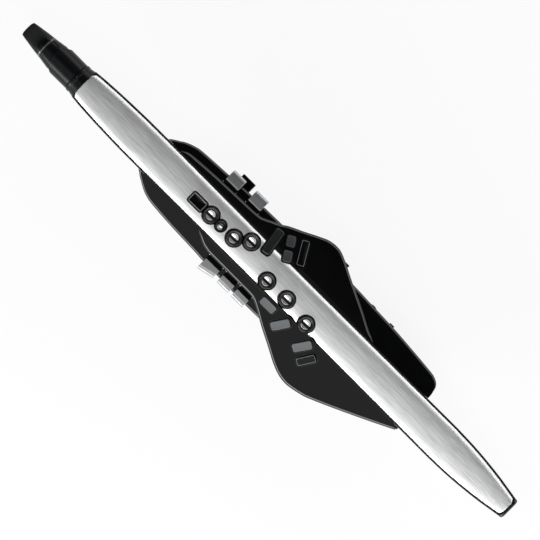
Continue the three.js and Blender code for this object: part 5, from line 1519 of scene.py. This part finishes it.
@dataclass
class BackFittings:
    """Thumb hook, strap loop, thumb rest, octave keys, display and menu buttons."""

    shop: Workshop
    hook_width: float = 18.0

    def build_hook(self) -> None:
        """The thumb hook: a plate, a post and a lip, one softened outline pushed across."""
        plate, half, post, lip, reach, top = 3.0, 15.0, 5.0, 3.6, 20.0, WALL.back_z
        x, px = WALL.hook_x, WALL.hook_x - 12.0
        line = [
            [x - half, top], [x + half, top], [x + half, top - plate], [px + 2 * post, top - plate],
            [px + 1.3 * post, top - 1.4 * plate], [px + post, top - 2.4 * plate], [px + post, 2.4 * lip],
            [px + 1.3 * post, 1.4 * lip], [px + 2 * post, lip], [x + reach - lip, lip], [x + reach, 1.6 * lip],
            [x + reach + 0.6 * lip, lip], [x + reach, 0.3 * lip], [x + reach - lip, 0], [px + post, 0],
            [px + 0.3 * post, 0.5 * lip], [px, 1.8 * lip], [px, top - plate], [x - half, top - plate],
        ]
        outline = soften([[-a, b] for a, b in line], 1.2, 4, closed=True)
        outline = outline if signed_area(outline) > 0 else outline[::-1]
        piece = bar("thumb_hook_form", outline, -self.hook_width / 2, self.hook_width / 2, along_y(), 0.9)
        self.shop.settle(piece, SATIN, "thumb_hook", ["thumb_hook"])

    def build_loop(self) -> None:
        """The strap loop: a ring of softened section on a square foot."""
        top, outer, inner, half, sink, side = WALL.back_z, 7.0, 4.0, 2.0, 1.1, 16.0
        section = soften([[inner, -half], [outer, -half], [outer, half], [inner, half]], 0.9, 4, closed=True)
        ring = lathe("strap_loop_ring", section, along_y(WALL.loop_x, top - outer - sink), 72, ring=True)
        outline = rounded_outline(side, side, PLAN_CORNER)
        foot = pad("cutter", outline, top - 2.2, top, frame_of(WALL.loop_x), 0.05, foot=0.7)
        self.shop.settle(carve(plain(ring), [plain(foot)], join=True), SATIN, stands_for=["strap_loop"])

    def build_rest(self) -> None:
        """The thumb rest: a soft dome with two fine rings for grip."""
        top, r, h = WALL.back_z, 11.0, 4.3
        profile = [[0, top], [r, top], [r, top - 0.3 * h], [0.86 * r, top - 0.7 * h], [0.8 * r, top - 0.72 * h],
                   [0.78 * r, top - 0.83 * h], [0.62 * r, top - 0.89 * h], [0.6 * r, top - 0.82 * h],
                   [0.56 * r, top - 0.92 * h], [0.3 * r, top - 0.98 * h], [0, top - h]]
        piece = lathe("thumb_rest_dome", soften(profile, 0.5, 3), frame_of(WALL.rest_x), 96)
        self.shop.settle(piece, RUBBER, stands_for=["thumb_rest"])

    def build_keys(self) -> None:
        """Octave keys and menu buttons, whose faces point down."""
        floor, up, key_down, button_down, radius = FORM.shell_floor, 4.0, 3.6, 1.2, WALL.button_radius
        outline = rounded_outline(*WALL.octave_size, PLAN_CORNER)
        for node, place in zip(("low_octave_key", "high_octave_key"), WALL.at_octaves()):
            piece = pad(f"{node}_pad", outline, floor - key_down, floor + up, place, 0.1, foot=0.9)
            self.shop.settle(piece, GLOSS_KEY, node, [node])
        profile = [[0, floor - button_down], [radius, floor - button_down], [radius, floor + up], [0, floor + up]]
        for node, place in zip(("menu_button_1", "menu_button_2"), WALL.at_buttons()):
            self.shop.settle(lathe(f"{node}_cap", soften(profile, 0.6, 3), place, 48), RUBBER, node, [node])

    def build_display(self) -> None:
        """The display: a dark pane with a fine bevel."""
        floor, outline = FORM.shell_floor, rounded_outline(*WALL.display_size, PLAN_CORNER)
        piece = pad("display_pane", outline, floor, floor + 1.3, frame_of(WALL.display_x), 0.05, foot=0.25)
        self.shop.settle(piece, LENS, stands_for=["display_window"])

    def build(self) -> None:
        """Builds everything on the back."""
        self.build_hook()
        self.build_loop()
        self.build_rest()
        self.build_keys()
        self.build_display()


@dataclass
class WallFittings:
    """Volume wheel, power switch, sockets and the black palm key on the left wall."""

    shop: Workshop
    knurls: int = 44

    def build_wheel(self) -> None:
        """The volume wheel: r = R - d (1 + cos n a) / 2, with rounded edges."""
        steps, deep = 8 * self.knurls, 0.35
        angle = np.arange(steps) * TAU / steps
        radius = WALL.wheel_radius - deep * (1 + np.cos(self.knurls * angle)) / 2
        outline = radius[:, None] * circle(angle)
        piece = bar("volume_wheel", outline, WALL.wheel_z, WALL.wheel_z + WALL.wheel_width, WALL.at_wheel(), 0.5)
        self.shop.settle(piece, SATIN, "volume_knob", ["volume_knob"])

    def build_switch(self) -> None:
        """The power switch: a slider with three grooves."""
        out, place = WALL.switch_y, along_y(WALL.switch_x, WALL.switch_z)
        piece = pad("power_switch_slider", rounded_outline(6, 3, 0.5, 4), out - 4.4, out, place, 0.35)
        grooves = [slot_cutter((0.6, 5), 0.1, out - 0.6, out + 2, place @ Matrix.Translation((step, 0, 0)), 1)
                   for step in (-1.5, 0, 1.5)]
        self.shop.settle(carve(piece, grooves), SATIN, "power_switch", ["power_switch"])

    def build_sockets(self) -> None:
        """The socket plate with its barrels, a steel ring, a tongue and a pin."""
        face, places = WALL.socket_y, WALL.at_sockets()
        jack, data, power = places
        deep, out = face - 9.6, face + OVERRUN
        outline = rounded_outline(*WALL.socket_plate, 0.4, 2)
        plate = plain(pad("jack_panel_plate", outline, face - WALL.plate_thickness, face, data, 0.15))
        barrels = [round_cutter(WALL.socket_radius, face - WALL.socket_depth, face - 1, place, 40) for place in places]
        plate = carve(plate, barrels, join=True)
        holes = [round_cutter(3.25, deep, out, jack, 48), round_cutter(3.1, deep, out, power, 48),
                 slot_cutter((9, 4.6), 1.0, deep, out, data, 4)]
        self.shop.settle(carve(plate, holes), SATIN, stands_for=["jack_panel"])
        inner, outer, low, high, foot = 3.3, 4.6, face - 1.5, face + 0.25, face - 9.5
        ring = soften([[inner, low], [outer, low], [outer, high], [inner, high]], 0.15, 2, closed=True)
        pin = soften([[0, foot], [1.0, foot], [1.0, face - 1.4], [0.4, face - 0.8], [0, face - 0.8]], 0.2, 2)
        for piece in (lathe("output_jack_ring", ring, jack, 64, ring=True), lathe("power_socket_pin", pin, power, 32),
                      bar("usb_socket_tongue", rounded_outline(6.4, 1.0, 0.2, 2), foot, face - 1.2, data, 0.15)):
            self.shop.settle(piece, STEEL)

    def build_palm(self) -> None:
        """The black palm key that stands out of the wall."""
        outline, place = rounded_outline(*WALL.palm_size, PLAN_CORNER), along_y(WALL.palm_x, WALL.palm_z)
        piece = pad("palm_f_key_pad", outline, WALL.edge(WALL.palm_x) - 6.0, 53.6, place, 0.8)
        self.shop.settle(piece, GLOSS_KEY, "palm_f_key", ["palm_f_key"])

    def build(self) -> None:
        """Builds everything on the wall."""
        self.build_wheel()
        self.build_switch()
        self.build_sockets()
        self.build_palm()


@dataclass(frozen=True)
class Softbox:
    """A lamp: heading and angles in degrees, round from +X and from straight up; bright is its radiance."""

    name: str
    heading: float
    angles: Pair
    bright: float
    length: float = 2.4
    shift: float = 0.0
    away: float = 1.6


SOFTBOXES = (
    Softbox("near_box", -90, (8, 27), 2.1, shift=0.9), Softbox("near_fill", -90, (8, 27), 0.7, 1.3, -0.95),
    Softbox("far_box", -90, (27, 56), 0.5), Softbox("right_strip", -90, (65, 82), 8.0, shift=0.3),
    Softbox("left_box", 90, (28, 38), 0.3),
    Softbox("left_strip", 90, (60, 78), 1.0), Softbox("bell_strip", 0, (62, 80), 2.5),
)


@dataclass
class Studio:
    """Floor, lamps, world and camera."""

    focus: Pair = (3.7, 0.2)
    panel_height: float = 78.0
    distance: float = 2134.0
    turn: float = 44.975
    lens: float = 135.0
    sensor: float = 36.0
    floor_half: float = 6.0
    floor_drop: float = 0.0002
    floor_cells: int = 8
    floor_glow: float = 0.62
    backdrop: float = 0.88
    horizon: float = 2.2
    dim_heading: float = 0.3
    zenith: float = 0.012
    fade: Pair = (0.3, 0.5)
    dim_span: Pair = (-0.8, -0.4)

    def build_floor(self) -> None:
        """A pale floor that keeps part of the shadow and shows pale in reflections."""
        cells = self.floor_cells
        side = np.linspace(-self.floor_half, self.floor_half, cells + 1)
        x, y = np.meshgrid(side, side)
        points = np.stack([x, y, 0 * x - self.floor_drop], -1).reshape(-1, 3)
        row, column = np.divmod(np.arange(cells**2), cells)
        corner = row * (cells + 1) + column
        faces = np.stack([corner, corner + 1, corner + cells + 2, corner + cells + 1], 1)
        mesh = bpy.data.meshes.new("floor")
        mesh.from_pydata(points.tolist(), [], faces.tolist())
        floor = add_object("floor", mesh)
        material, graph = new_material("pale_floor")
        place = graph.add("TexCoord").outputs["Object"]
        cloud = graph.add("TexNoise", {"Vector": place, "Scale": 3.0, "Detail": 3.0})
        tone = graph.spread(cloud.outputs["Fac"], 0.9, 0.93)
        shade = graph.add("CombineColor", {0: tone, 1: tone, 2: tone})
        matt = graph.add("BsdfDiffuse", {"Color": shade.outputs[0]})
        glow = graph.add("Emission", {"Color": (1, 1, 1, 1), "Strength": 1.0})
        rays = graph.add("LightPath").outputs
        direct = graph.math("MULTIPLY", rays["Is Camera Ray"], self.backdrop)
        mirrored = graph.math("MAXIMUM", rays["Is Glossy Ray"], rays["Is Transmission Ray"])
        seen = graph.math("MAXIMUM", direct, graph.math("MULTIPLY", mirrored, self.floor_glow))
        mix = graph.add("MixShader", {0: seen, 1: matt.outputs[0], 2: glow.outputs[0]})
        clear = graph.add("BsdfTransparent")
        under = graph.add("NewGeometry").outputs["Backfacing"]
        both = graph.add("MixShader", {0: under, 1: mix.outputs[0], 2: clear.outputs[0]})
        graph.add("OutputMaterial", {"Surface": both.outputs[0]})
        mesh.materials.append(material)

    def build_world(self) -> None:
        """A studio that is bright near the horizon and below it, and dark from there up."""
        world = bpy.data.worlds.new("studio")
        bpy.context.scene.world = world
        world.use_nodes = True
        graph = Graph(world.node_tree)
        way = graph.add("SeparateXYZ", {0: graph.add("TexCoord").outputs["Generated"]})
        level = graph.spread(way.outputs["Z"], self.horizon, self.zenith, *self.fade)
        level = graph.math("MULTIPLY", level, graph.spread(way.outputs["X"], self.dim_heading, 1.0, *self.dim_span))
        shade = graph.add("CombineColor", {0: level, 1: level, 2: level})
        light = graph.add("Background", {"Color": shade.outputs[0], "Strength": 1.0})
        graph.add("OutputWorld", {"Surface": light.outputs[0]})

    def build_lamp(self, lamp: Softbox) -> None:
        """A soft rectangular lamp over one side, square to its heading."""
        low, high = (math.radians(angle) for angle in lamp.angles)
        middle, height = (low + high) / 2, 2 * lamp.away * math.tan((high - low) / 2)
        data = bpy.data.lights.new(lamp.name, "AREA")
        data.shape = "RECTANGLE"
        data.size, data.size_y = lamp.length, height
        data.energy = lamp.bright * math.pi * lamp.length * height
        out, heading = lamp.away * math.sin(middle), math.radians(lamp.heading)
        piece = add_object(lamp.name, data)
        piece.location = (lamp.shift + out * math.cos(heading), out * math.sin(heading), lamp.away * math.cos(middle))
        piece.rotation_euler = (middle, 0, heading + math.pi / 2)

    def build_camera(self) -> None:
        """A long lens straight above, turned so that the instrument runs down to the right."""
        data = bpy.data.cameras.new("camera")
        data.lens, data.sensor_width = self.lens, self.sensor
        camera = add_object("camera", data)
        camera.location = (self.focus[0] * MM, self.focus[1] * MM, (self.panel_height + self.distance) * MM)
        camera.rotation_euler = (0, 0, math.radians(self.turn))
        bpy.context.scene.camera = camera

    def build(self) -> None:
        """Builds the studio."""
        bpy.context.scene.view_settings.view_transform = "Standard"
        self.build_floor()
        self.build_world()
        for lamp in SOFTBOXES:
            self.build_lamp(lamp)
        self.build_camera()


def dress_hidden(frame: dict, shop: Workshop) -> None:
    """Gives the board and the sensor, CAD nodes that stay, their finish."""
    for node in ("circuit_board", "breath_sensor"):
        shop.coat(frame["nodes"][node], BOARD)


def main() -> None:
    """Builds the dressed instrument round its frame, and the studio."""
    logging.basicConfig(level=logging.INFO, format="%(name)s: %(message)s")
    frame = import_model()
    shop = Workshop()
    dress_hidden(frame, shop)
    for assembly in (Neck, Tube, TouchKeys, KeyDecks, Levers, BackShell, BatteryBay, BackFittings, WallFittings):
        assembly(shop).build()
        log.info("%s is built", assembly.__name__)
    Studio().build()


if __name__ == "__main__":
    main()
